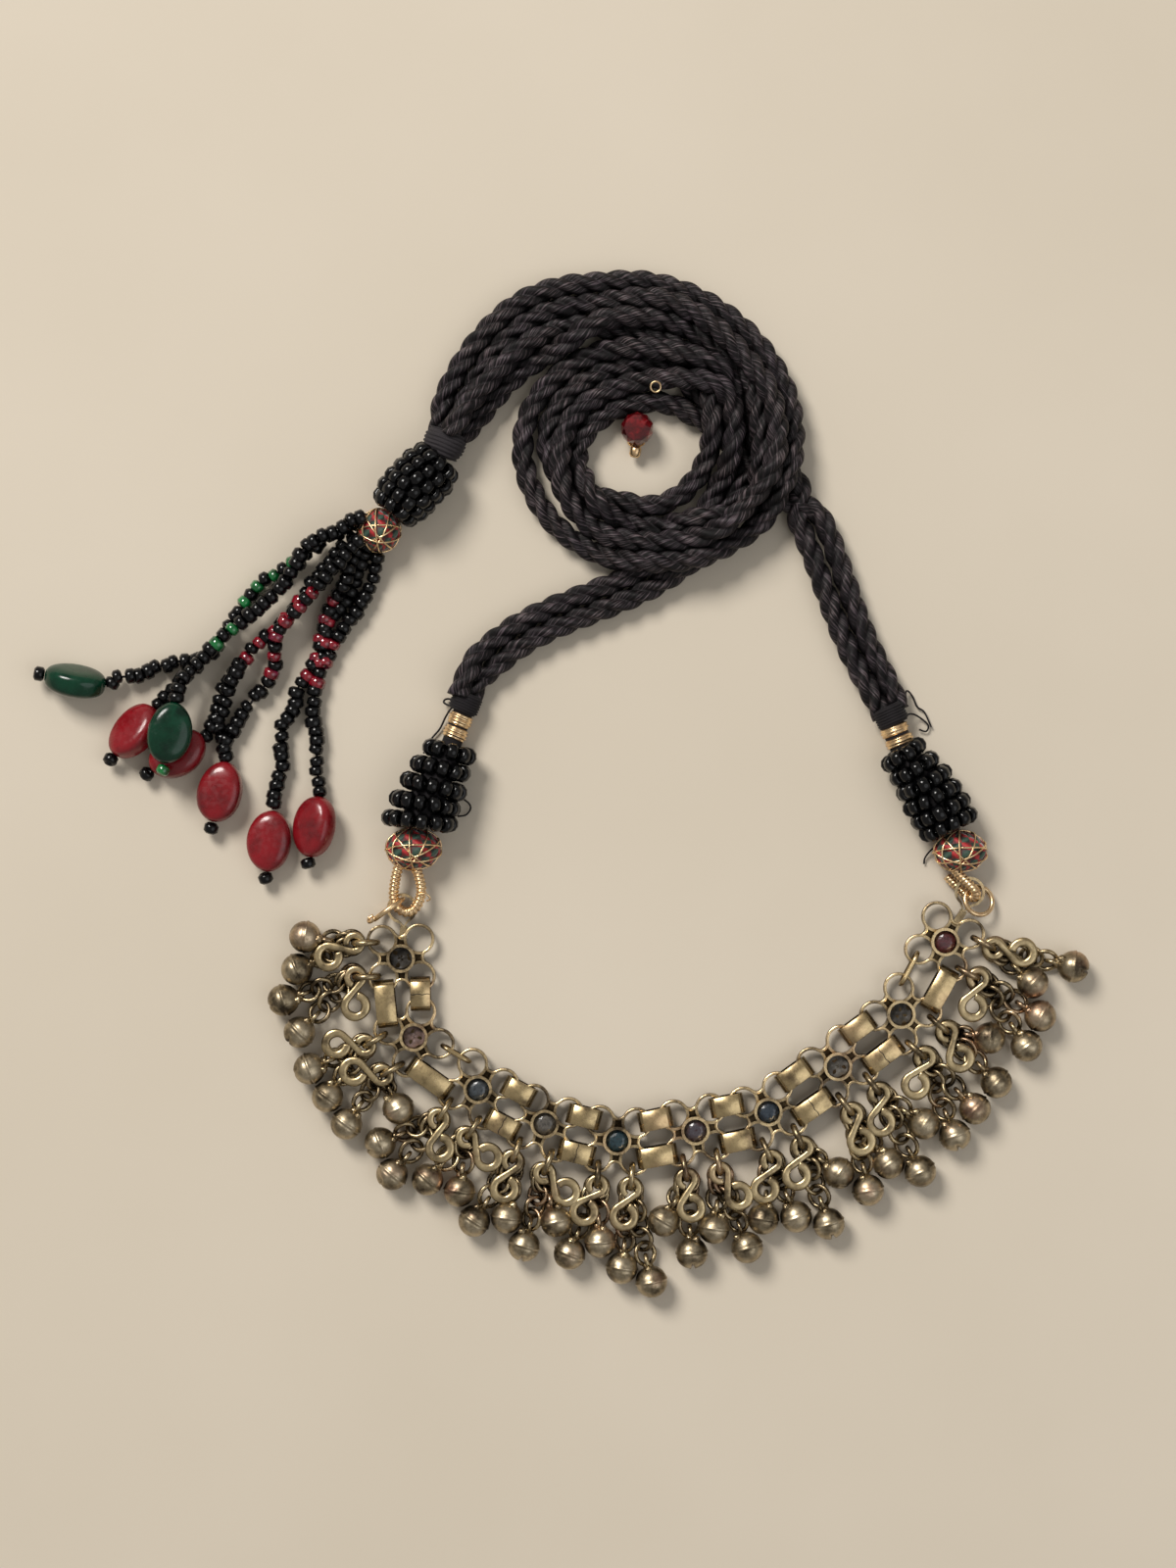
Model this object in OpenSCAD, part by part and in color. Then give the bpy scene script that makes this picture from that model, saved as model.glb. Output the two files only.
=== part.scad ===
// Collar: ten linked wire flowers with bells, beaded rope ends, a coiled cord and a bead tassel

/* [Flowers] */
// Outer radius of a flower's lobe
lobe_outer_r = 3.35; // [3.3:0.05:3.4]
// Radius of the hole in a lobe
lobe_hole_r = 2.75; // [2.7:0.05:2.8]
// Distance of a lobe's middle from the flower's two middle lines
lobe_offset = 4.05; // [4:0.05:4.1]
// Height of the ribbon's lower edge above the board
ribbon_z = 1.5; // [1.4:0.1:1.6]
// Height of the ribbon
ribbon_h = 1.5; // [1.3:0.1:1.5]
// Radius of the plate behind the bezel
web_r = 4.6; // [4.2:0.1:4.8]
// Outer radius of the bezel
bezel_outer_r = 3.1; // [3:0.05:3.2]
// Radius of the bezel's hollow
bezel_hole_r = 2.5; // [2.4:0.05:2.55]
// Height of the bezel's rim above the board
bezel_top = 4.6; // [4.2:0.1:5]

/* [Links between flowers] */
// Width of a band link
band_w = 4.3; // [3.6:0.1:4.3]
// Thickness of a band link
band_t = 0.7; // [0.6:0.05:0.7]
// Height of a band link over the board
band_h = 4.2; // [4.2:0.1:4.4]
// Shortest band link
band_min = 7.6; // [7.5:0.1:7.8]
// How much a band link is shorter than the distance of its two lobes
band_less = 1.1; // [1:0.05:1.2]
// Radius of the wire of the two round links
round_link_r = 0.5; // [0.4:0.05:0.55]

/* [Drops] */
// Radius of a bell
bell_r = 3.5; // [3.3:0.05:3.5]
// Radius of a bell's shank ring, to the middle of its wire
shank_r = 1.35; // [1.35:0.05:1.4]
// Radius of the shank's wire
shank_wire_r = 0.4; // [0.3:0.05:0.4]
// Radius of a drop's jump ring, to the middle of its wire
hoop_r = 2.6; // [2.55:0.05:2.65]
// Radius of the jump ring's wire
hoop_wire_r = 0.6; // [0.5:0.05:0.6]
// Half the width of a bell's link, to the middle of its wire
link_half_w = 1.5; // [1.45:0.05:1.55]
// Radius of the link's wire
link_wire_r = 0.45; // [0.4:0.05:0.5]
// Thickness of the flattened charm
charm_t = 0.8; // [0.6:0.1:0.8]

/* [Beads and ropes] */
// Length of an oval bead
oval_l = 13.4; // [13:0.1:13.6]
// Width of an oval bead
oval_w = 9.7; // [9.4:0.1:9.8]
// Thickness of an oval bead
oval_t = 5.6; // [5:0.1:5.8]
// Diameter of the twisted rope
rope_d = 5; // [4.6:0.1:5.2]
// Outer radius of the coil of rope
coil_r = 34.5; // [33:0.5:35]
// Height of the coil of rope
coil_h = 11; // [10:0.5:12]
// Radius of a string of seed beads
string_r = 1.35; // [1.2:0.05:1.45]

/* [Hidden] */
$fn = 48;
// The middle of all that isn't rope, which is the part's origin
middle = [1.7, 1.7];

// The flowers along the chain: middle x, y and the chain's direction there
FLOWERS = [
    [-33.0, -21.4, -88],
    [-30.2, -38.6, -60],
    [-16.2, -50.0, -33],
    [-1.6, -57.5, -21],
    [14.2, -61.2, -4],
    [31.3, -59.0, 10],
    [47.2, -54.9, 24],
    [62.4, -45.0, 37],
    [76.2, -33.6, 49],
    [85.8, -17.8, 62]
];
// The flowers that hold a stone, counted from 0
STONED = [2, 3, 4, 5, 6, 9];
// The drop-shaped ribbon loop of the end flowers: flower, middle x, y, tip x, y, lower and upper edge
END_LOOPS = [
    [0, -32.8, -10.5, -32.4, -14.3, 1.5, 3.1],
    [9, 91.3, -6.9, 90.0, -11.0, 2.15, 3.05]
];
// The junctions whose inner or outer link is a round wire: junction, side
ROUND_LINKS = [[1, 1], [8, 1]];

// The drops, two on a flower: the charm's direction, the two bells' x and y, which bell's link lies low
DROPS = [
    [-153, -53.9, -16.7, -55.7, -23.8, 0],
    [-90, -58.6, -30.5, -55.1, -37.5, 1],
    [176, -53.0, -45.5, -49.0, -51.6, 0],
    [172, -44.9, -57.5, -33.5, -54.2, 0],
    [-87, -37.5, -61.7, -34.9, -68.5, 1],
    [-43, -27.2, -69.7, -20.2, -72.2, 1],
    [-106, -17.0, -78.7, -9.9, -78.0, 0],
    [-41, -6.1, -84.1, 0.9, -78.8, 1],
    [-117, 3.8, -85.9, 10.5, -83.3, 1],
    [-104, 15.2, -89, 21.7, -92, 1],
    [-82, 30.5, -85.7, 24.4, -78.7, 1],
    [-51, 35.4, -80.3, 42.6, -84.5, 0],
    [-104, 46.1, -78.2, 53.3, -77.8, 1],
    [-102, 60.4, -79.3, 62.6, -68.2, 0],
    [-72, 69.0, -72.0, 73.5, -66.1, 0],
    [-87, 80.4, -67.9, 81.2, -57.5, 1],
    [-109, 87.9, -60.0, 92.3, -54.2, 1],
    [-64, 97.0, -48.5, 95.5, -38.8, 0],
    [-101, 103.6, -40.5, 106.6, -34.0, 0],
    [-8, 113.8, -23.2, 104.9, -26.7, 1]
];
// Places in a drop, from the middle of its jump ring or of its bell
hoop_out = 7.6;
hoop_side = 3.7;
hoop_z = 3.2;
charm_z = 3.95;
charm_eye = 2.45;
charm_pitch = 6.2;
link_z = [3.25, 2.1];
link_near = [2.8, 2.35];
shank_back = [4.6, 4.38];

// Rows of seed beads round the rope ends: middle x, y, half width, half height
LEFT_ROWS = [
    [-22.6, 23.0, 5.6, 5.2],
    [-24.2, 19.6, 6.4, 5.6],
    [-25.8, 16.0, 7.1, 6],
    [-27.4, 12.4, 7.8, 6.2],
    [-28.8, 9.2, 8.1, 6.2]
];
RIGHT_ROWS = [
    [77.0, 23.0, 5.4, 5.2],
    [79.0, 20.0, 5.9, 5.6],
    [81.0, 17.0, 6.1, 5.8],
    [82.9, 14.2, 6.1, 5.8],
    [84.8, 11.4, 5.9, 5.6],
    [86.5, 8.9, 5.2, 5.2]
];
TASSEL_ROWS = [
    [-25.4, 86.6, 5.8, 5.6],
    [-27.2, 84.6, 6.5, 6],
    [-29.0, 82.6, 6.8, 6.2],
    [-30.8, 80.6, 6.8, 6.2],
    [-32.4, 78.7, 6.4, 6],
    [-33.9, 76.9, 5.6, 5.4]
];
// Beads wrapped in plaited thread: middle x, y, half width along x, half width along y, half height
WRAPPED = [
    [-30.2, 2.4, 6, 4.2, 4.3],
    [89.0, 2.0, 5.6, 4.3, 4.4],
    [-37.7, 71.9, 4.5, 4.5, 4.5]
];
// Oval beads: middle x, y, z, the end bead's direction, 1 for a green one
OVALS = [
    [-104.0, 39.2, 3.4, 169, 1],
    [-91.1, 28.2, 2.9, 229, 0],
    [-81.8, 23.3, 2.9, 213, 0],
    [-82.8, 27.7, 9.0, 259, 1],
    [-72.6, 14.9, 2.9, 256, 0],
    [-61.8, 4.2, 2.9, 264, 0],
    [-51.9, 7.4, 2.9, 260, 0]
];
end_bead_r = 1.6;
thread_r = 0.45;
bore_r = 0.8;
piece_gap = 0.15;

// The tassel's bead strings: lists of x, y, z, of which the last one reaches its oval's bore
STRINGS = [
    [[-44, 73, 5], [-50, 70, 4], [-54, 66, 3.5], [-59, 63.5, 3], [-64, 60.5, 2.5], [-66.5, 57, 2],
        [-69.5, 53, 2], [-72, 48.5, 2], [-77, 43.7, 2], [-82.5, 43.5, 2], [-87, 42, 2], [-91, 40.3, 2.4]],
    [[-77, 43.7, 2], [-81, 39, 2.4], [-84, 36, 2.8]],
    [[-72, 48.5, 2], [-76, 44.5, 4.5], [-80, 40, 7.6], [-81.3, 37, 8.8]],
    [[-72, 33, 2], [-73.7, 29.5, 2.4]],
    [[-45.5, 68.5, 5], [-50.5, 62.7, 5], [-55, 57, 4.6], [-59, 51.3, 4.6], [-64, 48, 4], [-67.5, 43.5, 3],
        [-71.3, 38.6, 2], [-73, 34.3, 2], [-73.4, 30, 2], [-71.9, 26, 2.4]],
    [[-56, 54.3, 6], [-60, 48.5, 4.5], [-61.2, 41, 2], [-65.5, 35, 2], [-69, 30, 2], [-71.3, 26, 2.4]],
    [[-44.8, 60, 5], [-48.5, 56, 3], [-50.2, 48.5, 2], [-52, 43.5, 2], [-55.6, 37.7, 2], [-56.9, 32.2, 2],
        [-59.4, 29.5, 2], [-59, 22, 2], [-60, 17, 2], [-60.3, 14.5, 2.4]],
    [[-41.4, 65.7, 4], [-44.8, 57, 2], [-48.5, 52.8, 2], [-51.3, 39.2, 2], [-52.4, 32.8, 2], [-51.6, 25, 2],
        [-51.5, 20, 2], [-50.8, 17.5, 2.4]],
    [[-38.5, 66, 4], [-39.5, 60.5, 2], [-44.2, 52.8, 2], [-48.5, 45.7, 2]],
    [[-44, 72.6, 4.6], [-43.2, 69.4, 4.6], [-41.4, 66.8, 4.2], [-38.2, 65.8, 4.2]],
    [[-45.5, 68.5, 5], [-44.6, 64, 5], [-45, 60, 5]]
];
// The string that carries each oval
OVAL_STRING = [0, 1, 3, 2, 4, 6, 7];

// The rope's routes: x, y, z
ROPES_LEFT = [[-18.4, 37.6, 2.6], [-15.4, 42.8, 2.6], [-9.4, 48.8, 2.6], [-1, 53, 2.6], [9.5, 56.5, 2.6]];
ROPES_RIGHT = [[73.2, 34.4, 2.6], [70.4, 40, 2.6], [66.4, 46.8, 2.6], [63.2, 56, 2.6], [59.6, 67, 2.6],
    [56.6, 75.6, 2.6]];
ROPES_TASSEL = [[-24.6, 96.4, 2.6], [-23.8, 101, 2.6], [-21, 108.6, 2.6], [-15, 116.4, 2.6],
    [-4.6, 122.8, 2.6]];
rope_side = 2.7;
rope_sides = 8;
coil_middle = [22.6, 93.4];
coil_hole = [19.7, 85.9];
coil_hole_r = 9.1;
coil_hole_half = 5.2;
slider = [18.6, 94.2];
slider_r = 3.65;

X = 0;
Y = 1;
TURN = 2;
numbers = [for (i = [1 : 10]) str(i < 10 ? "0" : "", i)];
FLOWER_NODES = [for (n = numbers) str("flower_", n)];
LINK_NODES = [for (i = [0 : 8]) str("links_", numbers[i], "_", numbers[i + 1])];
DROP_NODES = [for (i = [0 : 2 : 8]) str("drops_", numbers[i], "_", numbers[i + 1])];
OVAL_NODES = [for (i = [1 : 7]) str("oval_bead_", i)];
SIDES = ["left", "right", "tassel"];
SLEEVE_NODES = [for (s = SIDES) str("bead_sleeve_", s)];
WRAPPED_NODES = [for (s = SIDES) str("wrapped_bead_", s)];
BINDING_NODES = [for (s = SIDES) str("thread_binding_", s)];
COLLAR_NODES = ["wire_collar_left", "wire_collar_right"];
ROPE_NODES = ["rope_left_a", "rope_left_b", "rope_right_a", "rope_right_b",
    "rope_tassel_a", "rope_tassel_b", "rope_tassel_c", "rope_tassel_d"];

function turned(v, a) = [v[X] * cos(a) - v[Y] * sin(a), v[X] * sin(a) + v[Y] * cos(a)];
function flat(v) = [v[X], v[Y]];
function heading(v) = atan2(v[Y], v[X]);
function unit(v) = v / norm(v);
// A place on a flower, from the flower's own middle and direction
function on_flower(f, v) = flat(FLOWERS[f]) + turned(v, FLOWERS[f][TURN]);
// The path's direction at one of its points
function along(p, i) = unit(p[min(i + 1, len(p) - 1)] - p[max(i - 1, 0)]);
// Ring of points round the path, which lies in a plane with the given normal
function ring_points(c, d, r, n, normal) =
    let (side = cross(normal, d))
    [for (k = [0 : n - 1]) c + r * (cos(360 * k / n) * side + sin(360 * k / n) * normal)];

module at_origin() {
    translate([-middle[X], -middle[Y], 0]) children();
}

// Closed tube along a list of points in one plane
module tube(path, r, n, normal = [0, 0, 1]) {
    last = len(path) - 1;
    polyhedron(
        [for (i = [0 : last]) each ring_points(path[i], along(path, i), r, n, normal)],
        concat(
            [[for (k = [0 : n - 1]) k]],
            [for (i = [0 : last - 1], k = [0 : n - 1])
                [i * n + k, (i + 1) * n + k, (i + 1) * n + (k + 1) % n, i * n + (k + 1) % n]],
            [[for (k = [n - 1 : -1 : 0]) last * n + k]]
        )
    );
}

// Closed form through upright elliptical sections: x, y, z, half width, half height, direction
module lofted(sections, n) {
    last = len(sections) - 1;
    polyhedron(
        [for (s = sections, k = [0 : n - 1])
            let (w = s[3] * cos(360 * k / n))
            [s[0] - w * sin(s[5]), s[1] + w * cos(s[5]), s[2] + s[4] * sin(360 * k / n)]],
        concat(
            [[for (k = [0 : n - 1]) k]],
            [for (i = [0 : last - 1], k = [0 : n - 1])
                [i * n + k, (i + 1) * n + k, (i + 1) * n + (k + 1) % n, i * n + (k + 1) % n]],
            [[for (k = [n - 1 : -1 : 0]) last * n + k]]
        )
    );
}

// Ellipsoid of half length a along a direction, half width b and half height c
module ellipsoid(at, a, b, c, direction, n = 16) {
    steps = [-84 : 21 : 84];
    lofted([for (t = steps)
        let (p = at + a * sin(t) * [cos(direction), sin(direction), 0])
        [p[0], p[1], p[2], b * cos(t), c * cos(t), direction]], n);
}

// Outline with round ends: two half circles of height h, joined by straight sides
module loop_outline(l, h) {
    reach = (l - h) / 2;
    polygon([for (s = [1, -1], a = [-90 : 15 : 90]) s * [reach + cos(a) * h / 2, sin(a) * h / 2]]);
}

module lobe_discs(r) {
    for (a = [45 : 90 : 315]) {
        rotate(a) translate([lobe_offset * sqrt(2), 0]) circle(r);
    }
}

module end_loop_outline(l, grow) {
    d = [l[3] - l[1], l[4] - l[2]];
    reach = norm(d);
    r = 2.7 + grow;
    translate([l[1], l[2]]) rotate(heading(d)) {
        circle(r);
        polygon([[reach + grow * 0.8, 0], [r * 0.5, r * 0.7], [r * 0.5, -r * 0.7]]);
    }
}

// Drop-shaped loop of ribbon, with a bar that joins it to the flower's plate
module end_loop(l) {
    f = FLOWERS[l[0]];
    tip = [l[3], l[4]];
    to_tip = tip - flat(f);
    difference() {
        union() {
            translate([0, 0, l[5]]) linear_extrude(l[6] - l[5]) end_loop_outline(l, 0.6);
            translate([f[X], f[Y], 0]) rotate(heading(to_tip))
                translate([web_r - 0.6, -0.8, 1.8]) cube([norm(to_tip) - web_r + 0.6, 1.6, l[6] - 2]);
        }
        translate([0, 0, 1]) linear_extrude(4) end_loop_outline(l, 0);
    }
}

module flower(i) {
    f = FLOWERS[i];
    translate([f[X], f[Y], 0]) rotate(f[TURN]) {
        difference() {
            union() {
                translate([0, 0, ribbon_z]) linear_extrude(ribbon_h) lobe_discs(lobe_outer_r);
                translate([0, 0, ribbon_z + 0.2]) cylinder(h = 0.7, r = web_r);
            }
            translate([0, 0, 1]) linear_extrude(4) lobe_discs(lobe_hole_r);
        }
        difference() {
            translate([0, 0, ribbon_z]) cylinder(h = bezel_top - ribbon_z, r = bezel_outer_r);
            translate([0, 0, ribbon_z + 1]) cylinder(h = bezel_top, r = bezel_hole_r);
        }
    }
    for (l = END_LOOPS) {
        if (l[0] == i) end_loop(l);
    }
}

module cut_stone() {
    cylinder(h = 0.6, r = 2.3, $fn = 10);
    translate([0, 0, 0.6]) cylinder(h = 0.8, r1 = 2.3, r2 = 1.5, $fn = 10);
}

module stones() {
    for (i = STONED) {
        translate([FLOWERS[i][X], FLOWERS[i][Y], ribbon_z + 1.15]) cut_stone();
    }
}

// Ring of flat strip, upright in the plane of x and z
module band(l) {
    translate([0, band_w / 2, band_h / 2]) rotate([90, 0, 0]) linear_extrude(band_w) difference() {
        loop_outline(l, band_h);
        loop_outline(l - 2 * band_t, band_h - 2 * band_t);
    }
}

// Ring of round wire with straight sides: half the way between its arcs, half width, in the plane of x and y
module wire_ring(reach, half_w, wire_r) {
    side_in = 0.15;
    for (s = [0, 180]) {
        rotate(s) {
            translate([reach, 0, 0]) rotate(-90) rotate_extrude(angle = 180) translate([half_w, 0]) circle(wire_r);
            translate([-reach - side_in, half_w, 0]) rotate([0, 90, 0])
                cylinder(h = 2 * (reach + side_in), r = wire_r - 0.02);
        }
    }
}

module flower_link(i, side) {
    a = on_flower(i, [lobe_offset, side * lobe_offset]);
    b = on_flower(i + 1, [-lobe_offset, side * lobe_offset]);
    l = max(band_min, norm(b - a) - band_less);
    round_here = len([for (r = ROUND_LINKS) if (r[0] == i && r[1] == side) 1]) > 0;
    mid = (a + b) / 2;
    translate([mid[X], mid[Y], 0]) rotate(heading(b - a)) {
        if (round_here) {
            translate([0, 0, 2.4]) rotate([90, 0, 0]) wire_ring(l / 2 - 2.1, 1.75, round_link_r);
        } else {
            band(l);
        }
    }
}

module links(i) {
    flower_link(i, 1);
    flower_link(i, -1);
}

module bell_on_link(near, at, e, low) {
    a = heading(e);
    shank = at - shank_back[low] * e;
    far = shank - link_half_w * e;
    mid = (near + far) / 2;
    translate([mid[X], mid[Y], link_z[low]]) rotate(a)
        wire_ring(norm(far - near) / 2, link_half_w, link_wire_r);
    translate([at[X], at[Y], bell_r]) sphere(bell_r);
    translate([shank[X], shank[Y], link_z[low]]) rotate(a) rotate([90, 0, 0])
        rotate_extrude() translate([shank_r, 0]) circle(shank_wire_r);
}

module charm(eye, direction) {
    translate([eye[X], eye[Y], charm_z]) rotate(direction) linear_extrude(charm_t) difference() {
        union() {
            circle(2.5);
            translate([charm_pitch, 0]) circle(2.8);
            for (s = [-1, 1]) {
                translate([charm_pitch / 2 - 0.1, 0]) rotate(s * 16) square([3, 0.9], center = true);
            }
        }
        circle(1.4);
        translate([charm_pitch, 0]) circle(1.7);
    }
}

module drop(k) {
    d = DROPS[k];
    f = floor(k / 2);
    side = k % 2 == 0 ? -1 : 1;
    hoop = on_flower(f, [hoop_side * side, -hoop_out]);
    out = turned([0, -1], FLOWERS[f][TURN]);
    translate([hoop[X], hoop[Y], hoop_z]) rotate(heading(out)) rotate([90, 0, 0])
        rotate_extrude() translate([hoop_r, 0]) circle(hoop_wire_r);
    charm(hoop + charm_eye * out, d[0]);
    for (b = [0, 1]) {
        low = b == d[5] ? 0 : 1;
        at = [d[1 + 2 * b], d[2 + 2 * b]];
        near = hoop + link_near[low] * out;
        bell_on_link(near, at, unit(at - near), low);
    }
}

module drops(i) {
    for (k = [0 : 3]) {
        drop(4 * i + k);
    }
}

module gold_ring(at, major, wire, z, direction, tilt) {
    translate([at[X], at[Y], z]) rotate(direction) rotate([tilt, 0, 0])
        rotate_extrude() translate([major, 0]) circle(wire);
}

module wire_loop_left() {
    tube([[-33.5, -1.5, 4.4], [-34.2, -4.5, 4.4], [-34.5, -7.6, 4.4], [-33.9, -9.8, 4.4], [-32.4, -11.1, 4.4],
        [-30.6, -11.0, 4.4], [-29.2, -9.4, 4.4], [-28.5, -6.5, 4.4], [-29.0, -3.6, 4.4], [-29.5, -2.1, 4.4]], 1, 10);
}

// Slanted loop round the ribbon's near side: its middle lies in the ribbon loop's hole
module wire_loop_right() {
    axis = unit([0.71, -0.7, 0]);
    slant = unit([0.37, 0.375, 0.85]);
    turn = [91.1, -6.7, 2.75];
    tube(concat(
        [for (s = [-4.5, -3.2, -1.8]) turn + s * axis - 1.9 * slant],
        [for (a = [-90 : 22.5 : 90]) turn + 1.9 * (cos(a) * axis + sin(a) * slant)],
        [for (s = [-1.8, -3.2, -4.5]) turn + s * axis + 1.9 * slant]), 0.9, 10, unit(cross(axis, slant)));
}

// Sleeve of bead rows: each row bulges, and the groove between two rows is a tenth narrower
module bead_rows(rows) {
    last = len(rows) - 1;
    function row_heading(i) = heading(flat(rows[min(i + 1, last)]) - flat(rows[max(i - 1, 0)]));
    function half_step(i) = norm(flat(rows[min(i + 1, last)]) - flat(rows[max(i - 1, 0)]))
        / (i == 0 || i == last ? 2 : 4);
    lofted([for (i = [0 : last], k = [-0.92, -0.6, 0, 0.6, 0.92])
        let (h = row_heading(i), s = 1 - 0.14 * pow(abs(k), 3))
        [rows[i][X] + k * half_step(i) * cos(h), rows[i][Y] + k * half_step(i) * sin(h), rows[i][3] + 0.1,
            rows[i][2] * s, rows[i][3] * s, h]], 16);
}

module wrapped_bead(i) {
    w = WRAPPED[i];
    ellipsoid([w[0], w[1], w[4]], w[2], w[3], w[4], 0);
}

module oval_bead(i) {
    o = OVALS[i];
    difference() {
        ellipsoid([o[0], o[1], o[2]], oval_l / 2, oval_w / 2, oval_t / 2, o[3]);
        translate([o[0], o[1], o[2]]) rotate(o[3]) rotate([0, 90, 0])
            cylinder(h = oval_l + 2, r = bore_r, center = true, $fn = 10);
    }
}

// One bead string as a chain of hulls, so that crossing strings join into one body
module string_run(points, r) {
    for (i = [1 : len(points) - 1]) {
        hull() {
            translate(points[i - 1]) sphere(r, $fn = 6);
            translate(points[i]) sphere(r, $fn = 6);
        }
    }
}

module tassel_strings() {
    for (s = STRINGS) {
        string_run(s, string_r);
    }
    for (i = [0 : 6]) {
        o = OVALS[i];
        d = [cos(o[3]), sin(o[3]), 0];
        at = [o[0], o[1], o[2]];
        path = STRINGS[OVAL_STRING[i]];
        reach = oval_l / 2;
        string_run([path[len(path) - 1], at - (reach + string_r + piece_gap) * d], string_r);
        string_run([at - (reach + string_r) * d, at + (reach + end_bead_r) * d], thread_r);
        string_run([at + (reach + end_bead_r + piece_gap - 0.2) * d, at + (reach + end_bead_r + piece_gap) * d],
            end_bead_r);
    }
}

// Short wound sleeve along a direction: middle, length, radius and height of its middle
module wound(at, direction, l, r, z) {
    translate([at[X], at[Y], z]) rotate(direction) rotate([0, 90, 0]) {
        cylinder(h = l, r = r - 0.25, center = true);
        for (k = [-0.375, -0.125, 0.125, 0.375]) {
            translate([0, 0, k * l]) cylinder(h = l / 6, r = r, center = true);
        }
    }
}

module slider_bead() {
    difference() {
        translate([slider[X], slider[Y], slider_r]) sphere(slider_r);
        translate([slider[X], slider[Y], slider_r]) rotate([90, 0, 0])
            cylinder(h = 3 * slider_r, r = 0.9, center = true);
    }
}

// One of two ropes that run side by side: s is -1 or 1, up is the number of ropes beneath
module rope(route, s, up) {
    shifted = [for (i = [0 : len(route) - 1])
        let (d = along(route, i))
        route[i] + s * rope_side * [-d[Y], d[X], 0] + [0, 0, up * (rope_d + 0.2)]];
    tube(shifted, rope_d / 2, rope_sides);
}

// Coil of rope: a round cake with a long hole below its middle, and room for the slider bead
module coil() {
    edge = rope_d / 2;
    difference() {
        translate([coil_middle[X], coil_middle[Y], 0]) rotate_extrude() {
            square([coil_r - edge, coil_h]);
            translate([0, edge]) square([coil_r, coil_h - 2 * edge]);
            translate([coil_r - edge, edge]) circle(edge);
            translate([coil_r - edge, coil_h - edge]) circle(edge);
        }
        translate([coil_hole[X], coil_hole[Y], -1]) linear_extrude(coil_h + 2) {
            for (s = [-1, 1]) {
                translate([s * coil_hole_half, 0]) circle(coil_hole_r);
            }
            square([2 * coil_hole_half, 2 * coil_hole_r], center = true);
        }
        translate([slider[X], slider[Y], -1]) cylinder(h = coil_h + 2, r = slider_r + 0.4);
    }
}

for (i = [0 : 9]) {
    color("darkkhaki") at_origin() flower(i);
}
for (i = [0 : 8]) {
    color("khaki") at_origin() links(i);
}
for (i = [0 : 4]) {
    color("tan") at_origin() drops(i);
}
for (i = [0 : 6]) {
    color(OVALS[i][4] == 1 ? "darkgreen" : "firebrick") at_origin() oval_bead(i);
}
for (i = [0 : 2]) {
    color("black") at_origin() bead_rows([LEFT_ROWS, RIGHT_ROWS, TASSEL_ROWS][i]);
}
for (i = [0 : 2]) {
    color("brown") at_origin() wrapped_bead(i);
}
color("black") at_origin() wound([-18.9, 34.4], 68, 4, 3.2, 3.2);  // thread_binding_left
color("black") at_origin() wound([73.9, 31.6], 116, 4, 3.4, 3.4);  // thread_binding_right
color("black") at_origin() wound([-24.7, 93.3], 92, 4, 5.2, 5.2);  // thread_binding_tassel
color("gold") at_origin() wound([-20.6, 29.2], 70, 5.6, 2.7, 3.2);  // wire_collar_left
color("gold") at_origin() wound([75.2, 27.6], 114, 3.6, 3.2, 3.4);  // wire_collar_right
for (i = [0 : 1]) {
    color("indigo") at_origin() rope(ROPES_LEFT, 2 * i - 1, 0);
    color("indigo") at_origin() rope(ROPES_RIGHT, 2 * i - 1, 0);
    color("indigo") at_origin() rope(ROPES_TASSEL, 2 * i - 1, 0);
    color("indigo") at_origin() rope(ROPES_TASSEL, 2 * i - 1, 1);
}
color("indigo") at_origin() coil();
color("midnightblue") at_origin() stones();
color("gold") at_origin() gold_ring([-35.6, -10.6], 3.8, 0.55, 4.35, 36, 90);  // gold_ring_left
color("gold") at_origin() gold_ring([93.25, -8.83], 3.2, 0.5, 2.6, -44.6, -24);  // gold_ring_right
color("goldenrod") at_origin() wire_loop_left();
color("goldenrod") at_origin() wire_loop_right();
color("black") at_origin() tassel_strings();
color("darkred") at_origin() slider_bead();
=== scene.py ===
"""Collar of ten linked wire flowers with bells, beaded rope ends, a coil of rope and a bead tassel. It lies
on a pale board. Places are typed in millimetres on the board, as in the part's source, and shift() brings
them to the part's origin."""

import bpy
import numpy as np
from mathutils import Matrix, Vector


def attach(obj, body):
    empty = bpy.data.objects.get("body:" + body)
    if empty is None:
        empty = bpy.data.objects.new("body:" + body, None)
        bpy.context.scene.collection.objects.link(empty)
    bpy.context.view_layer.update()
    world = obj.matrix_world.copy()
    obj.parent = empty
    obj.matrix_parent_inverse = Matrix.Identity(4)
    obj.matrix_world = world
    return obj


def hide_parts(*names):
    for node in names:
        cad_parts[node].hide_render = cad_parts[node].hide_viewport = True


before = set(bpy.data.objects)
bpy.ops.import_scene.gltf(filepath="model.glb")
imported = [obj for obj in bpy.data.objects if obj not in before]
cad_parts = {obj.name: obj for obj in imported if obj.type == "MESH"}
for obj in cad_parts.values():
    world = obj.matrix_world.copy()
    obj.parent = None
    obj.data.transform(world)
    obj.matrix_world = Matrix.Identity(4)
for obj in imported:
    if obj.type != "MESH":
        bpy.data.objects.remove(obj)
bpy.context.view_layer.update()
ORIGIN_ON_BOARD = np.array([1.7, 1.7, 0.0])
UP = np.array([0.0, 0.0, 1.0])
FULL = 2 * np.pi


def shift(points):
    """Millimetres on the board to metres from the part's origin."""
    return (np.asarray(points, float) - ORIGIN_ON_BOARD) / 1000


def unit(v):
    return v / np.maximum(np.linalg.norm(v, axis=-1, keepdims=True), 1e-9)


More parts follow.
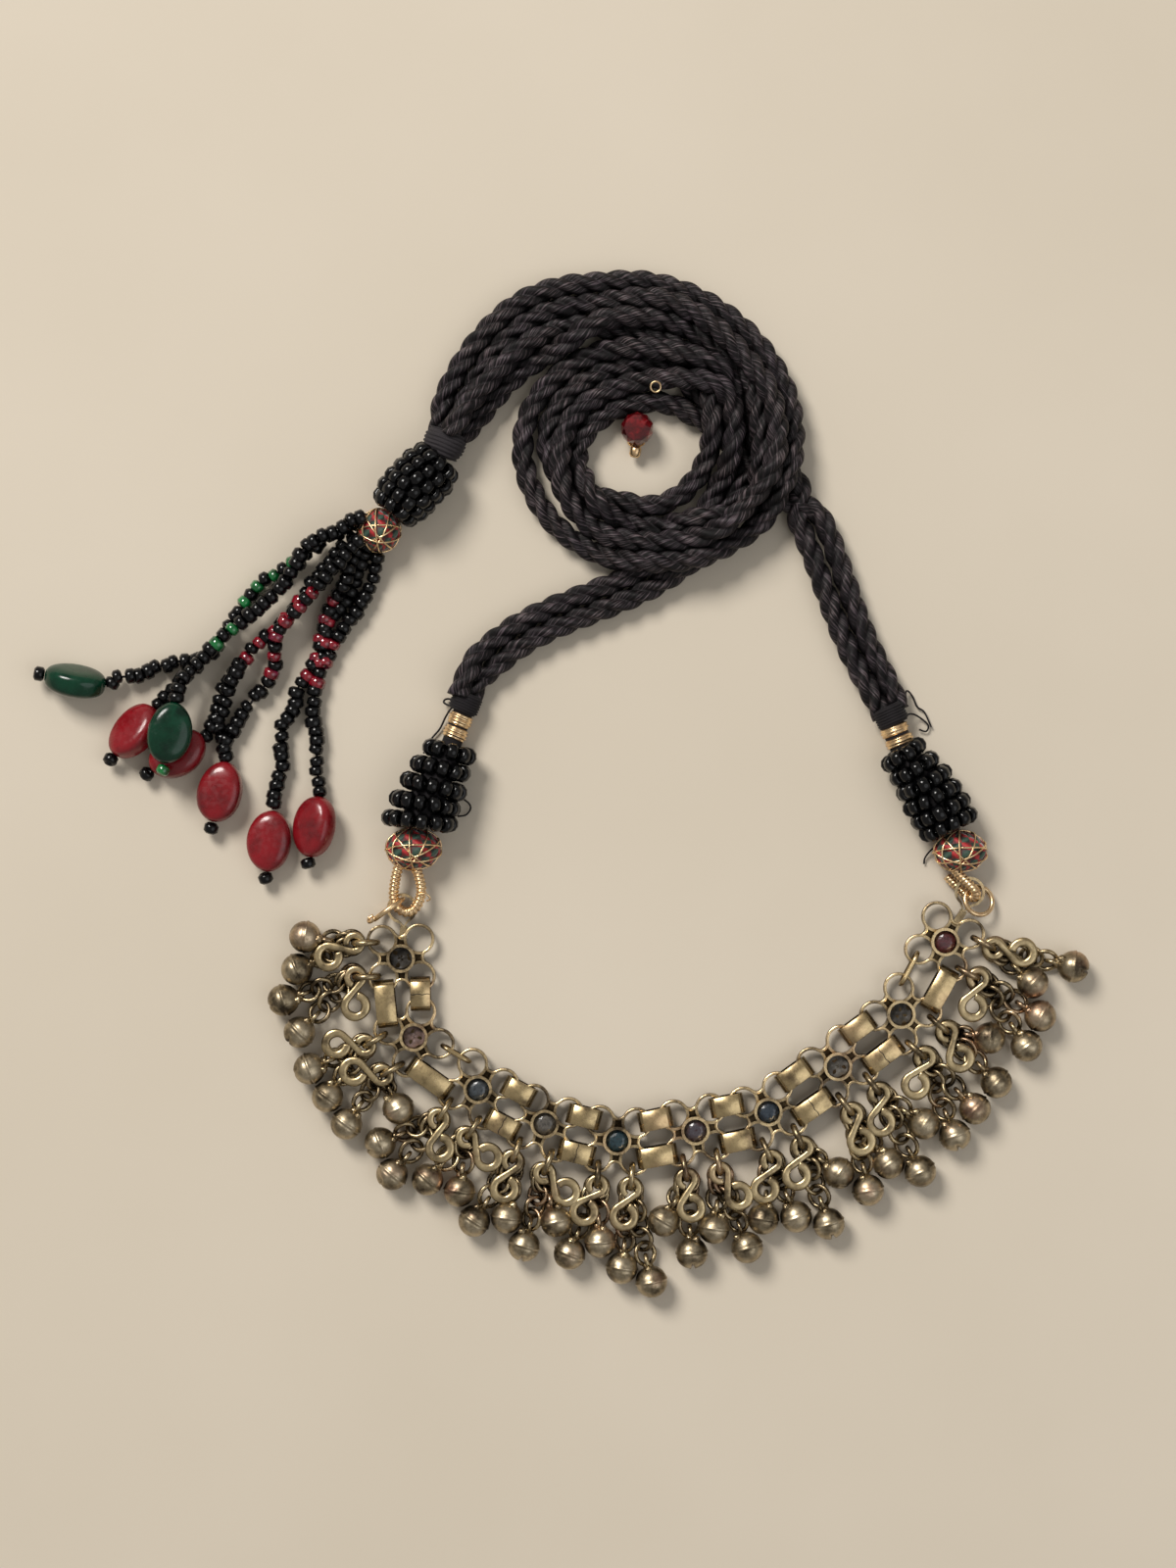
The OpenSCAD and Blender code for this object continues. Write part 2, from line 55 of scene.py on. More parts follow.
def turned(degrees):
    """Direction on the board, and the one to its left."""
    a = np.radians(degrees)
    return np.array([np.cos(a), np.sin(a), 0.0]), np.array([-np.sin(a), np.cos(a), 0.0])


def angles(count):
    """Even angles once round, without the last."""
    return np.arange(count) / count * FULL


def grid_faces(rows, columns, closed=False):
    """Quads of a grid whose columns wrap round, and whose rows do too where closed."""
    i = np.arange(rows if closed else rows - 1)[:, None]
    j = np.arange(columns)[None]
    i2, j2 = (i + 1) % rows, (j + 1) % columns
    quads = [i * columns + j, i * columns + j2, i2 * columns + j2, i2 * columns + j]
    return np.stack(quads, -1).reshape(-1, 4)


def ball_faces(rows, sides):
    """Quads of a grid that wraps round, and a fan to a pole at each end. The poles follow the grid's
    points."""
    low, high, top = rows * sides, rows * sides + 1, (rows - 1) * sides
    pairs = [(j, (j + 1) % sides) for j in range(sides)]
    fans = [[low, k, j] for j, k in pairs] + [[high, top + j, top + k] for j, k in pairs]
    return grid_faces(rows, sides).tolist() + fans


def ball_angles(rows, sides):
    """Height angles between the poles as a column, and angles round as a row."""
    return np.linspace(-np.pi / 2, np.pi / 2, rows + 2)[1:-1, None], angles(sides)[None]


def ball_points(x, y, z, low, high):
    """Points of a grid from one pole to the other, row by row, and then the two poles."""
    return np.vstack([np.stack(np.broadcast_arrays(x, y, z), -1).reshape(-1, 3), [low], [high]])


def piece(name, points, faces, material, slot, replaced=(), uv=None, smooth=True):
    """Object from points in board millimetres. uv has one pair for each point, set at each corner of a
    face."""
    mesh = bpy.data.meshes.new(name)
    mesh.from_pydata(shift(points).reshape(-1, 3).tolist(), [], faces)
    mesh.update()
    if uv is not None:
        corner = np.zeros(len(mesh.loops), np.int32)
        mesh.loops.foreach_get("vertex_index", corner)
        layer = mesh.uv_layers.new(name="UVMap")
        layer.data.foreach_set("uv", np.asarray(uv, np.float32).reshape(-1, 2)[corner].ravel())
    if smooth:
        mesh.shade_smooth()
    mesh.materials.append(material)
    made = bpy.data.objects.new(name, mesh)
    bpy.context.scene.collection.objects.link(made)
    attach(made, "root")
    if replaced:
        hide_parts(*replaced)
    return made


def joined_piece(name, forms, material, slot, replaced=()):
    """One object from several forms, each of which is (points, faces, uv)."""
    points, faces, uv, n = [], [], [], 0
    for p, f, w in forms:
        points.append(p)
        faces += [[k + n for k in q] for q in f]
        uv.append(w)
        n += len(p)
    return piece(name, np.vstack(points), faces, material, slot, replaced, np.vstack(uv))


def bare(points, faces):
    """Form of a metal piece, whose material doesn't read its UV."""
    return points, faces, np.zeros((len(points), 2))


def along(path):
    return unit(np.gradient(path, axis=0))


def across(path):
    """Two directions square to a path: level side, and the one above it."""
    t = along(path)
    side = unit(np.cross(UP, t))
    return side, np.cross(t, side)


def smooth_path(points, step):
    """Curve through the points, cut at even steps. Each span is a cubic whose direction at a point is that
    of the line between the point's two neighbours."""
    p = np.asarray(points, float)
    q = np.vstack([2 * p[0] - p[1], p, 2 * p[-1] - p[-2]])
    t = np.linspace(0, 1, 12, endpoint=False)[None, :, None]
    a, b, c, d = (q[k:len(q) - 3 + k][:, None] for k in range(4))
    square, cube = 2 * a - 5 * b + 4 * c - d, 3 * b - a - 3 * c + d
    fine = 0.5 * (2 * b + (c - a) * t + square * t ** 2 + cube * t ** 3)
    fine = np.vstack([fine.reshape(-1, 3), p[-1:]])
    run = np.concatenate([[0], np.cumsum(np.linalg.norm(np.diff(fine, axis=0), axis=1))])
    even = np.linspace(0, run[-1], max(2, int(round(run[-1] / step))) + 1)
    return np.stack([np.interp(even, run, fine[:, k]) for k in range(3)], 1)


def circles(path, radius, angle, side, above):
    """Points round each place of a path: place + radius*(cos(angle)*side + sin(angle)*above)."""
    r = np.broadcast_to(radius, (len(path), len(angle)))[..., None]
    reach = np.cos(angle)[None, :, None] * side[:, None] + np.sin(angle)[None, :, None] * above[:, None]
    return (path[:, None] + r * reach).reshape(-1, 3)


def swept(path, radius, sides, frame_of=None):
    """Tube round a path: radius may change along it (rows) and round it (columns). Both ends close on a
    point."""
    side, above = frame_of if frame_of is not None else across(path)
    n = len(path)
    tube = circles(path, radius, angles(sides) - np.pi / 2, side, above)
    run = np.linspace(0, 1, n)[:, None].repeat(sides, 1)
    round_it = np.broadcast_to(np.arange(sides) / sides, (n, sides))
    uv = np.vstack([np.stack([round_it, run], -1).reshape(-1, 2), [[0.5, 0], [0.5, 1]]])
    return np.vstack([tube, path[:1], path[-1:]]), ball_faces(n, sides), uv


# Materials

def start_material(name, **values):
    """Material, its nodes and its shader, with values set on the shader's own sockets."""
    made = bpy.data.materials.new(name)
    made.use_nodes = True
    shader = made.node_tree.nodes["Principled BSDF"]
    for key, value in values.items():
        shader.inputs[key.replace("_", " ")].default_value = value
    return made, made.node_tree, shader


def node(tree, kind, links=None, **values):
    """Node of a kind; values are its settings, and links maps an input's name to a number or an output."""
    made = tree.nodes.new("ShaderNode" + kind)
    for key, value in values.items():
        setattr(made, key, value)
    for key, value in (links or {}).items():
        if isinstance(value, bpy.types.NodeSocket):
            tree.links.new(value, made.inputs[key])
        else:
            made.inputs[key].default_value = value
    return made


def ramp(tree, source, *stops):
    """Colour ramp through (place, colour) stops. A plain number stands for a grey."""
    made = node(tree, "ValToRGB", {"Fac": source})
    bar = made.color_ramp.elements
    while len(bar) < len(stops):
        bar.new(0.5)
    for e, (place, colour) in zip(bar, stops):
        e.position = place
        e.color = (*colour, 1) if isinstance(colour, tuple) else (colour, colour, colour, 1)
    return made.outputs["Color"]


def noise(tree, at, scale, detail=4.0, rough=0.55):
    levels = {"Vector": at, "Scale": scale, "Detail": detail, "Roughness": rough}
    return node(tree, "TexNoise", levels).outputs["Fac"]


def object_place(tree):
    return node(tree, "TexCoord").outputs["Object"]


def own_place(tree, stretch):
    """The piece's own UV, stretched."""
    at = node(tree, "TexCoord").outputs["UV"]
    return node(tree, "Mapping", {"Vector": at, "Scale": stretch}).outputs["Vector"]


def mixed(tree, share, a, b, how="MIX"):
    """Two colours, each an output or a triple, blended by a share."""
    a, b = (v if isinstance(v, bpy.types.NodeSocket) else (*v, 1) for v in (a, b))
    return node(tree, "Mix", {0: share, 6: a, 7: b}, data_type="RGBA", blend_type=how).outputs[2]


def corners(tree, distance, near, far, **choices):
    """Painted shade in recesses: a ramp on ambient occlusion over a distance in metres, which darkens the
    colour.
    """
    hollow = node(tree, "AmbientOcclusion", {"Distance": distance}, samples=6, **choices).outputs["AO"]
    return ramp(tree, hollow, near, far)


def finished(tree, shader, colour, roughness=None, height=None, strength=0.0, distance=0.0):
    """Links the colour, the roughness and a bump of the height to the shader."""
    tree.links.new(colour, shader.inputs["Base Color"])
    if roughness is not None:
        tree.links.new(roughness, shader.inputs["Roughness"])
    if height is not None:
        made = node(tree, "Bump", {"Height": height, "Strength": strength, "Distance": distance})
        tree.links.new(made.outputs["Normal"], shader.inputs["Normal"])


def old_metal(name, worn, middle, dark, rosy=0.35, shine=(0.22, 0.5), tarnish_and_shade_reach=0.0016, wear_and_light_rise=None, speck=0.8,
              rough=0.35):
    """Antiqued metal: blotches from dark to worn and rosy copper by noise, and recesses darkened within
    tarnish_and_shade_reach metres, as tarnish and as painted shade. wear_and_light_rise gives two heights
    above
    the board in metres: below the first, tarnish and painted shade darken the sides, and above the second,
    wear and a painted highlight lighten the tops. shine holds the roughness of clean metal and of specks,
    speck the specks' share, and rough the depth of the bump."""
    made, tree, shader = start_material(name, Metallic=1.0)
    at = object_place(tree)
    broad, fine = noise(tree, at, 210, 5, 0.6), noise(tree, at, 1500, 4, 0.6)
    body = ramp(tree, broad, (0.34, dark), (0.46, middle), (0.6, worn), (0.75, middle))
    copper = ramp(tree, noise(tree, at, 90, 3, 0.5), (0.55, 0.0), (0.68, rosy))
    body = mixed(tree, copper, body, (0.62, 0.36, 0.25))
    # Tarnish and painted shade in the recesses: ambient occlusion darkens the colour there.
    dirt = corners(tree, tarnish_and_shade_reach, (0.3, (0.1, 0.075, 0.055)), (0.8, 1.0), only_local=True)
    body = mixed(tree, 0.92, body, dirt, "MULTIPLY")
    # Painted shade on the low sides and a painted highlight on the tops, along with wear: the colour is
    # scaled from 0.26 below the first height up to 1.75 above the second.
    if wear_and_light_rise:
        height = node(tree, "SeparateXYZ", {"Vector": at}).outputs["Z"]
        span = {"Value": height, "From Min": wear_and_light_rise[0], "From Max": wear_and_light_rise[1]}
        up = node(tree, "MapRange", span).outputs["Result"]
        wear_and_light_by_height = ramp(tree, up, (0.0, (0.26, 0.23, 0.2)), (1.0, (1.75, 1.7, 1.6)))
        body = mixed(tree, 1.0, body, wear_and_light_by_height, "MULTIPLY")
    specks = ramp(tree, fine, (0.3, (0.45, 0.4, 0.34)), (0.45, 1.0))
    gloss = ramp(tree, fine, (0.3, shine[1]), (0.6, shine[0]))
    body = mixed(tree, speck, body, specks, "MULTIPLY")
    finished(tree, shader, body, gloss, noise(tree, at, 700, 6, 0.6), rough, 0.00012)
    return made


def satin(name):
    """Satin yarn: fine streaks along the rope on its own UV, black with an aubergine sheen. It is darker
    where plies meet, as painted shade, and the light end of the streaks is partly paler yarn and partly
    painted highlight."""
    made, tree, shader = start_material(name, Specular_IOR_Level=0.22, Sheen_Weight=0.02, Sheen_Roughness=0.3,
                                        Sheen_Tint=(0.8, 0.62, 0.7, 1))
    streak = noise(tree, own_place(tree, (46, 18, 1)), 1.0, 3, 0.6)
    patch = noise(tree, object_place(tree), 160, 3)
    # The light end of the streaks is partly paler yarn and partly painted highlight.
    body = ramp(tree, streak, (0.4, (0.0015, 0.0012, 0.0013)), (0.52, (0.0105, 0.008, 0.0088)),
                (0.66, (0.15, 0.122, 0.128)))
    tint = ramp(tree, patch, (0.4, (0.72, 0.68, 0.76)), (0.65, (1, 0.95, 0.93)))
    # Painted shade in the grooves where plies meet.
    body = mixed(tree, 1.0, body, corners(tree, 0.0022, (0.42, 0.02), (0.92, 1.0)), "MULTIPLY")
    body = mixed(tree, 1.0, body, tint, "MULTIPLY")
    finished(tree, shader, body, ramp(tree, streak, (0.4, 0.62), (0.62, 0.36)), streak, 0.9, 0.0003)
    return made


def glass_bead(name, scale, colours, rough=0.09, bump=0.05, weight=0.6, level=0.6):
    """Glossy bead: colours laid in cloudy bands by noise, under a clear coat."""
    made, tree, shader = start_material(name, Coat_Weight=weight, Coat_Roughness=0.04,
                                        Specular_IOR_Level=level)
    at = object_place(tree)
    last = max(1, len(colours) - 1)
    bands = [(0.32 + 0.36 * k / last, colour) for k, colour in enumerate(colours)]
    gloss = ramp(tree, noise(tree, at, 900, 3), (0.4, rough), (0.7, rough * 2.2))
    finished(tree, shader, ramp(tree, noise(tree, at, scale, 5, 0.6), *bands), gloss, noise(tree, at, 420, 3),
             bump, 0.0002)
    return made


def wire_metal(name, bright, dull, rough=0.24):
    """Bright wire: dull and bright in fine noise, which its roughness follows."""
    made, tree, shader = start_material(name, Metallic=1.0)
    at = object_place(tree)
    tone = noise(tree, at, 700, 4)
    colour = ramp(tree, tone, (0.35, dull), (0.55, bright))
    gloss = ramp(tree, tone, (0.35, rough * 1.7), (0.6, rough))
    finished(tree, shader, colour, gloss, noise(tree, at, 2200, 2), 0.2, 0.00005)
    return made


def thread_material(name, dark, light):
    """Matt thread with fibres along its own UV."""
    made, tree, shader = start_material(name, Specular_IOR_Level=0.15, Sheen_Weight=0.05, Sheen_Roughness=0.5)
    fibre = noise(tree, own_place(tree, (1, 60, 1)), 6.0, 4, 0.7)
    gloss = ramp(tree, fibre, (0.3, 0.85), (0.7, 0.6))
    finished(tree, shader, ramp(tree, fibre, (0.35, dark), (0.65, light)), gloss, fibre, 0.4, 0.0001)
    return made


def slanted_wave(tree, lean):
    """Waves across the piece's own UV, slanted by the sign of lean."""
    levels = {"Vector": own_place(tree, (lean, 5, 1)), "Scale": 0.5, "Distortion": 2.2}
    return node(tree, "TexWave", levels, bands_direction="DIAGONAL").outputs["Fac"]


def plait_material(name):
    """Plait of red and dark green thread: two crossing waves on the bead's UV choose the thread and its
    relief."""
    made, tree, shader = start_material(name, Sheen_Weight=0.3, Sheen_Roughness=0.4, Roughness=0.6)
    one, two = slanted_wave(tree, 10), slanted_wave(tree, -10)
    over = node(tree, "Math", {0: one, 1: two}, operation="MAXIMUM").outputs[0]
    who = node(tree, "Math", {0: one, 1: two}, operation="GREATER_THAN").outputs[0]
    fibre = noise(tree, own_place(tree, (30, 60, 1)), 2.0, 3, 0.6)
    red = ramp(tree, fibre, (0.35, (0.2, 0.006, 0.008)), (0.7, (0.62, 0.03, 0.035)))
    green = ramp(tree, fibre, (0.35, (0.008, 0.022, 0.014)), (0.7, (0.06, 0.13, 0.09)))
    body = mixed(tree, ramp(tree, who, (0.4, 0.0), (0.6, 1.0)), red, green)
    shade = ramp(tree, over, (0.4, 0.25), (0.85, 1.0))
    finished(tree, shader, mixed(tree, 1.0, body, shade, "MULTIPLY"), None, over, 0.7, 0.0006)
    return made


def board_material():
    made, tree, shader = start_material("pale_board", Roughness=0.55)
    tone = noise(tree, object_place(tree), 9, 4, 0.5)
    finished(tree, shader, ramp(tree, tone, (0.3, (0.592, 0.524, 0.42)), (0.7, (0.627, 0.558, 0.455))))
    return made


SILVER = old_metal("old_silver", tarnish_and_shade_reach=0.003, speck=0.6,
                   worn=(0.46, 0.365, 0.215), middle=(0.24, 0.185, 0.11), dark=(0.07, 0.052, 0.032))
# Flower ribbons and bands: painted shade on their low sides and a painted highlight on their tops, along with
# wear, by height.
FLOWER_METAL = old_metal("flower_ribbon", rosy=0.15, tarnish_and_shade_reach=0.002, wear_and_light_rise=(0.0026, 0.0031), speck=0.5,
                         worn=(0.46, 0.366, 0.22), middle=(0.29, 0.227, 0.137), dark=(0.08, 0.06, 0.039))
BAND_METAL = old_metal("worn_band_with_painted_light", rosy=0.12, shine=(0.26, 0.36), wear_and_light_rise=(0.0014, 0.0044), speck=0.2,
                       rough=0.12,
                       worn=(0.36, 0.284, 0.163), middle=(0.29, 0.228, 0.13), dark=(0.14, 0.106, 0.063))
CHARM_METAL = old_metal("worn_charm", rosy=0.12, shine=(0.28, 0.46), speck=0.5,
                        worn=(0.58, 0.462, 0.264), middle=(0.43, 0.335, 0.19), dark=(0.17, 0.128, 0.075))
BELL_METAL = old_metal("bell_silver", rosy=0.4, shine=(0.3, 0.52), tarnish_and_shade_reach=0.0026, speck=0.45, rough=0.25,
                       worn=(0.5, 0.42, 0.295), middle=(0.27, 0.218, 0.141), dark=(0.06, 0.045, 0.03))
GOLD = wire_metal("bright_gold_wire", (0.9, 0.66, 0.38), (0.6, 0.4, 0.22))
SATIN = satin("aubergine_satin")
GREY_THREAD = thread_material("grey_binding_thread", (0.008, 0.007, 0.008), (0.05, 0.044, 0.048))
BLACK_THREAD = thread_material("black_binding_thread", (0.003, 0.0026, 0.003), (0.022, 0.019, 0.021))
PLAIT = plait_material("red_green_plait")
BLACK_BEAD = glass_bead("black_seed_glass", 500, [(0.0012, 0.0012, 0.0014), (0.003, 0.003, 0.0034)],
                        rough=0.1, bump=0.04, weight=0.0, level=0.32)
GREEN_SEED = glass_bead("green_seed", 420, [(0.001, 0.035, 0.008), (0.006, 0.2, 0.045)])
RED_SEED = glass_bead("iridescent_red_seed", 420, [
    (0.04, 0.001, 0.003), (0.24, 0.005, 0.016), (0.09, 0.002, 0.007), (0.2, 0.012, 0.045),
])
RED_BEAD = glass_bead("red_oval_glaze", 110, [
    (0.09, 0.005, 0.007), (0.17, 0.0045, 0.008), (0.22, 0.006, 0.011), (0.12, 0.007, 0.009),
], rough=0.2, weight=0.25, level=0.4)
GREEN_BEAD = glass_bead("green_oval_glaze", 110, [
    (0.0005, 0.01, 0.005), (0.001, 0.022, 0.01), (0.002, 0.038, 0.018), (0.0008, 0.014, 0.007),
], rough=0.14, weight=0.1, level=0.35)
SLIDER = glass_bead("dark_red_glass", 420, [(0.02, 0.001, 0.0015), (0.1, 0.002, 0.004), (0.24, 0.006, 0.01)],
                    rough=0.06)

# Ropes: each runs from the tassel's binding, round the coil, and out to one side of the collar

ROPE_ROUTES = {
    "left_a": [
        (-24.6, 92.2, 3.4), (-24.4, 96.6, 2.7), (-21.9, 105.5, 2.6), (-17.0, 113.5, 2.6),
        (-9.9, 120.2, 2.6), (1.5, 124.8, 2.6), (12.0, 125.1, 3), (21.1, 126.5, 4), (29.4, 125.1, 6),
        (36.9, 121.0, 7.5), (43.7, 115.3, 7.8), (49.0, 108.5, 7.8), (52.8, 101.0, 7.8), (53.7, 93.5, 7.8),
        (53.1, 86.7, 7.8), (50.1, 79.1, 7.8), (45.2, 73.1, 7.8), (38.4, 68.6, 7.8), (30.9, 65.6, 7.8),
        (23.3, 64.4, 7.8), (15.8, 64.8, 7.8), (8.3, 67.1, 7.6), (1.5, 70.8, 7), (-3.1, 76.1, 6),
        (-6.1, 82.1, 4.5), (-8.0, 88.9, 3.5), (-7.2, 95.7, 3.2), (-4.6, 101.8, 4), (1.5, 107.4, 6),
        (9.0, 111.2, 7.8), (17.3, 113.1, 7.8), (25.6, 112.7, 7), (33.1, 110.1, 5.5), (39.9, 104.8, 4),
        (44.1, 98.0, 2.8), (45.6, 90.4, 2.6), (44.1, 82.9, 2.6), (40.3, 76.1, 2.6), (35.4, 70.1, 2.6),
        (29.4, 64.8, 2.6), (22.6, 60.6, 2.6),
    ],
    "left_b": [
        (-22.4, 92.0, 3), (-21.0, 96.4, 2.6), (-17.4, 103.3, 2.6), (-12.5, 111.2, 2.6), (-6.1, 117.6, 2.6),
        (1.5, 120.6, 4), (9.0, 122.1, 6), (16.5, 123.6, 7.6), (24.1, 122.5, 8.5), (31.6, 119.5, 9),
        (38.0, 114.6, 9), (43.0, 108.2, 9), (46.7, 101.0, 9), (49.0, 93.5, 9), (48.6, 86.7, 8.6),
        (45.6, 79.9, 8), (40.7, 74.6, 7.8), (33.9, 70.8, 7.8), (27.1, 68.2, 7.8), (20.3, 68.2, 7.8),
        (13.5, 69.7, 7.8), (7.5, 72.7, 7.8), (3.0, 77.2, 7.8), (0.3, 82.9, 7.4), (-0.8, 88.9, 6.5),
        (0.3, 95.0, 6), (3.7, 99.9, 6), (9.8, 103.3, 6.5), (17.3, 105.9, 7.5), (24.8, 106.9, 7.8),
        (32.4, 105.2, 7), (38.4, 101.0, 5), (41.4, 95.0, 3.5), (41.4, 88.2, 2.6), (39.6, 81.4, 2.6),
        (35.4, 74.6, 2.6), (30.1, 69.3, 2.6), (24.1, 64.8, 2.6), (18.1, 61.4, 2.6),
    ],
    "right_a": [
        (-20.4, 92.0, 4), (-16.8, 95.7, 2.8), (-12.5, 101.8, 3), (-7.2, 107.8, 4), (-0.8, 114.2, 5),
        (6.0, 118.0, 6.5), (13.5, 119.5, 7), (21.1, 119.5, 7), (28.6, 117.2, 7), (35.4, 112.3, 6),
        (40.7, 105.9, 5), (44.8, 98.7, 4), (47.5, 91.2, 3.2), (46.7, 83.7, 3), (43.0, 76.9, 3),
        (36.9, 72.3, 2.8), (29.4, 71.2, 2.8), (22.6, 71.6, 3), (15.8, 72.7, 4), (9.0, 75.7, 5),
        (4.5, 80.6, 5), (3.0, 86.7, 4), (3.7, 92.0, 3.5), (7.5, 96.5, 4), (13.5, 99.9, 6),
        (21.1, 101.8, 6), (28.6, 101.0, 5), (34.6, 98.0, 3.6), (39.2, 92.7, 2.6), (43.7, 87.4, 2.6),
        (47.5, 82.9, 2.6), (51.2, 77.6, 2.6),
    ],
    "right_b": [
        (-22.4, 92.6, 7.4), (-20.4, 95.7, 7.8), (-16.6, 102.5, 7.8), (-11.0, 110.1, 7.8),
        (-3.8, 115.7, 7.8), (3.7, 118.7, 3), (11.3, 116.8, 2.6), (19.6, 116.1, 2.6), (27.1, 114.6, 2.6),
        (33.9, 110.1, 2.6), (37.4, 104.0, 2.6), (37.4, 97.0, 5.0), (36.2, 90.2, 5.6), (33.8, 84.2, 6.4),
        (30.2, 79.5, 6), (25.4, 76.1, 4), (19.6, 74.6, 3), (13.5, 75.4, 3), (6.7, 77.6, 2.6),
        (1.5, 82.1, 2.6), (-1.6, 88.2, 2.6), (-2.3, 94.2, 2.6), (1.5, 101.0, 2.6), (9.0, 107.0, 2.6),
        (18.1, 109.7, 2.6), (27.1, 109.3, 2.6), (35.4, 104.8, 2.6), (42.2, 98.7, 2.6), (47.5, 92.0, 2.6),
        (51.2, 85.9, 2.6), (54.3, 80.6, 2.6),
    ],
}
# The two ways out of the coil, as the part's source gives them
WAY_LEFT = [
    (9.5, 56.5, 2.6), (-1, 53, 2.6), (-9.4, 48.8, 2.6), (-15.4, 42.8, 2.6), (-18.4, 37.6, 2.6),
    (-19.2, 35.4, 2.8),
]
WAY_RIGHT = [
    (56.6, 75.6, 2.6), (59.6, 67, 2.6), (63.2, 56, 2.6), (66.4, 46.8, 2.6), (70.4, 40, 2.6),
    (73.2, 34.4, 2.6), (74.2, 32.2, 2.8),
]
WAYS = {"left": WAY_LEFT, "right": WAY_RIGHT}
# How far a side's two ropes lie from their way out, and how much the second one is lifted there
APART, LIFT = {"left": 1.75, "right": 2.6}, {"left": 2.2, "right": 0}
# Height of the middle of a rope that lies on the board, and the spacing of ropes that lie together
ON_BOARD, ROPE_SPACING = 2.6, 4.6
PLY_RADIUS, PLY_OFFSET, TWIST_LENGTH = 1.3, 1.22, 15.5
ROUTE_STEP, FINE_STEP = 1.9, 0.5
# Letters of the tassel's four ropes, in the order of the routes that begin with them
TASSEL_LETTERS = "bdac"


def beside(way, apart, lift):
    """The way moved sideways and up. The distance shrinks along it, to the square root of 0.6 of itself."""
    p = np.array(way, float)
    side, _ = across(p)
    share = np.linspace(1, 0.6, len(p))[:, None] ** 0.5
    return p + apart * share * side + [0, 0, lift]


def settled(paths, apart, rounds=150):
    """Ropes pushed off one another and let down. Points closer than the rope's thickness, apart from near
    ones of their own rope, move away from each other by a share of what is missing. Each point also sinks a
    little, is drawn to where it was laid and is averaged with its neighbours. The ends stay."""
    sizes = np.array([len(p) for p in paths])
    p = np.vstack(paths)
    laid = p.copy()
    rope = np.repeat(np.arange(len(paths)), sizes)
    place = np.concatenate([np.arange(n) for n in sizes])
    left = np.repeat(sizes, sizes) - 1 - place
    held = (np.minimum(place, left) < 4)[:, None]
    own = (rope[:, None] == rope) & (abs(place[:, None] - place) < 6)
    before = np.maximum(np.arange(len(p)) - 1, 0)
    after = np.minimum(np.arange(len(p)) + 1, len(p) - 1)
    push_share, longest, sink, pull = 0.15, 0.5, 0.03, 0.01
    for _ in range(rounds):
        v = p[:, None] - p
        gap = np.sqrt((v ** 2).sum(-1)) + 1e-6
        push = np.where(own, 0, np.maximum(0, apart - gap)) / gap
        move = push_share * (push[..., None] * v).sum(1)
        move *= np.minimum(1, longest / (np.linalg.norm(move, axis=1, keepdims=True) + 1e-9))
        move[:, 2] -= sink
        move += pull * (laid - p) * [1, 1, 0.2]
        new = p + np.where(held, 0, move)
        even = 0.25 * new[before] + 0.5 * new + 0.25 * new[after]
        p = np.where(held, new, 0.5 * new + 0.5 * even)
        p[:, 2] = np.maximum(p[:, 2], ON_BOARD)
    return np.split(p, np.cumsum(sizes)[:-1])


def twisted_rope(name, path, start, replaced):
    """Three plies laid round each other: the outline round the path is that of three circles of radius r
    whose middles lie at the distance d, and it turns once in the twist's length. At the angle f from the
    nearest middle, the radius is d*cos(f) + sqrt(r*r - d*d*sin(f)*sin(f)). The yarn's UV turns 0.3 times in
    that length."""
    fine = smooth_path(path, FINE_STEP)
    sides, yarn_turn = 36, 0.3
    run = np.arange(len(fine)) * FINE_STEP
    f = (angles(sides)[None] - FULL * run[:, None] / TWIST_LENGTH + start) % (FULL / 3) - FULL / 6
    radius = PLY_OFFSET * np.cos(f) + np.sqrt(PLY_RADIUS ** 2 - (PLY_OFFSET * np.sin(f)) ** 2)
    points, faces, uv = swept(fine, radius, sides)
    length = np.linalg.norm(np.diff(path, axis=0), axis=1).sum()
    uv = np.stack([uv[:, 0] + yarn_turn * uv[:, 1] * length / TWIST_LENGTH, uv[:, 1] * length / 100], 1)
    made = piece(name, points, faces, SATIN, "satin_rope", replaced, uv)
    return made


laid = []
for name, route in ROPE_ROUTES.items():
    side, letter = name.split("_")
    first = letter == "a"
    out = beside(WAYS[side], APART[side] * (1 if first else -1), 0 if first else LIFT[side])
    laid.append(smooth_path(np.vstack([np.array(route, float), out]), ROUTE_STEP))
for k, (name, path) in enumerate(zip(ROPE_ROUTES, settled(laid, ROPE_SPACING))):
    replaced = f"rope_tassel_{TASSEL_LETTERS[k]}", f"rope_{name}", "coil"
    twisted_rope(f"twisted_{name}", path, 0.8 * k, replaced)


# Seed beads and threads

def bead_shape(radius, half, hole, sides=10, slices=6):
    """Ring round the x axis: its section is a rounded box, from the hole to the radius and from -half to
    half."""
    t = angles(slices)
    c, s = np.cos(t), np.sin(t)
    x = half * np.sign(c) * abs(c) ** 0.75
    r = (radius + hole) / 2 + (radius - hole) / 2 * np.sign(s) * abs(s) ** 0.75
    a = angles(sides)[:, None]
    points = np.stack([np.broadcast_to(x, (sides, slices)), r * np.cos(a), r * np.sin(a)], -1).reshape(-1, 3)
    return points, grid_faces(sides, slices, True)


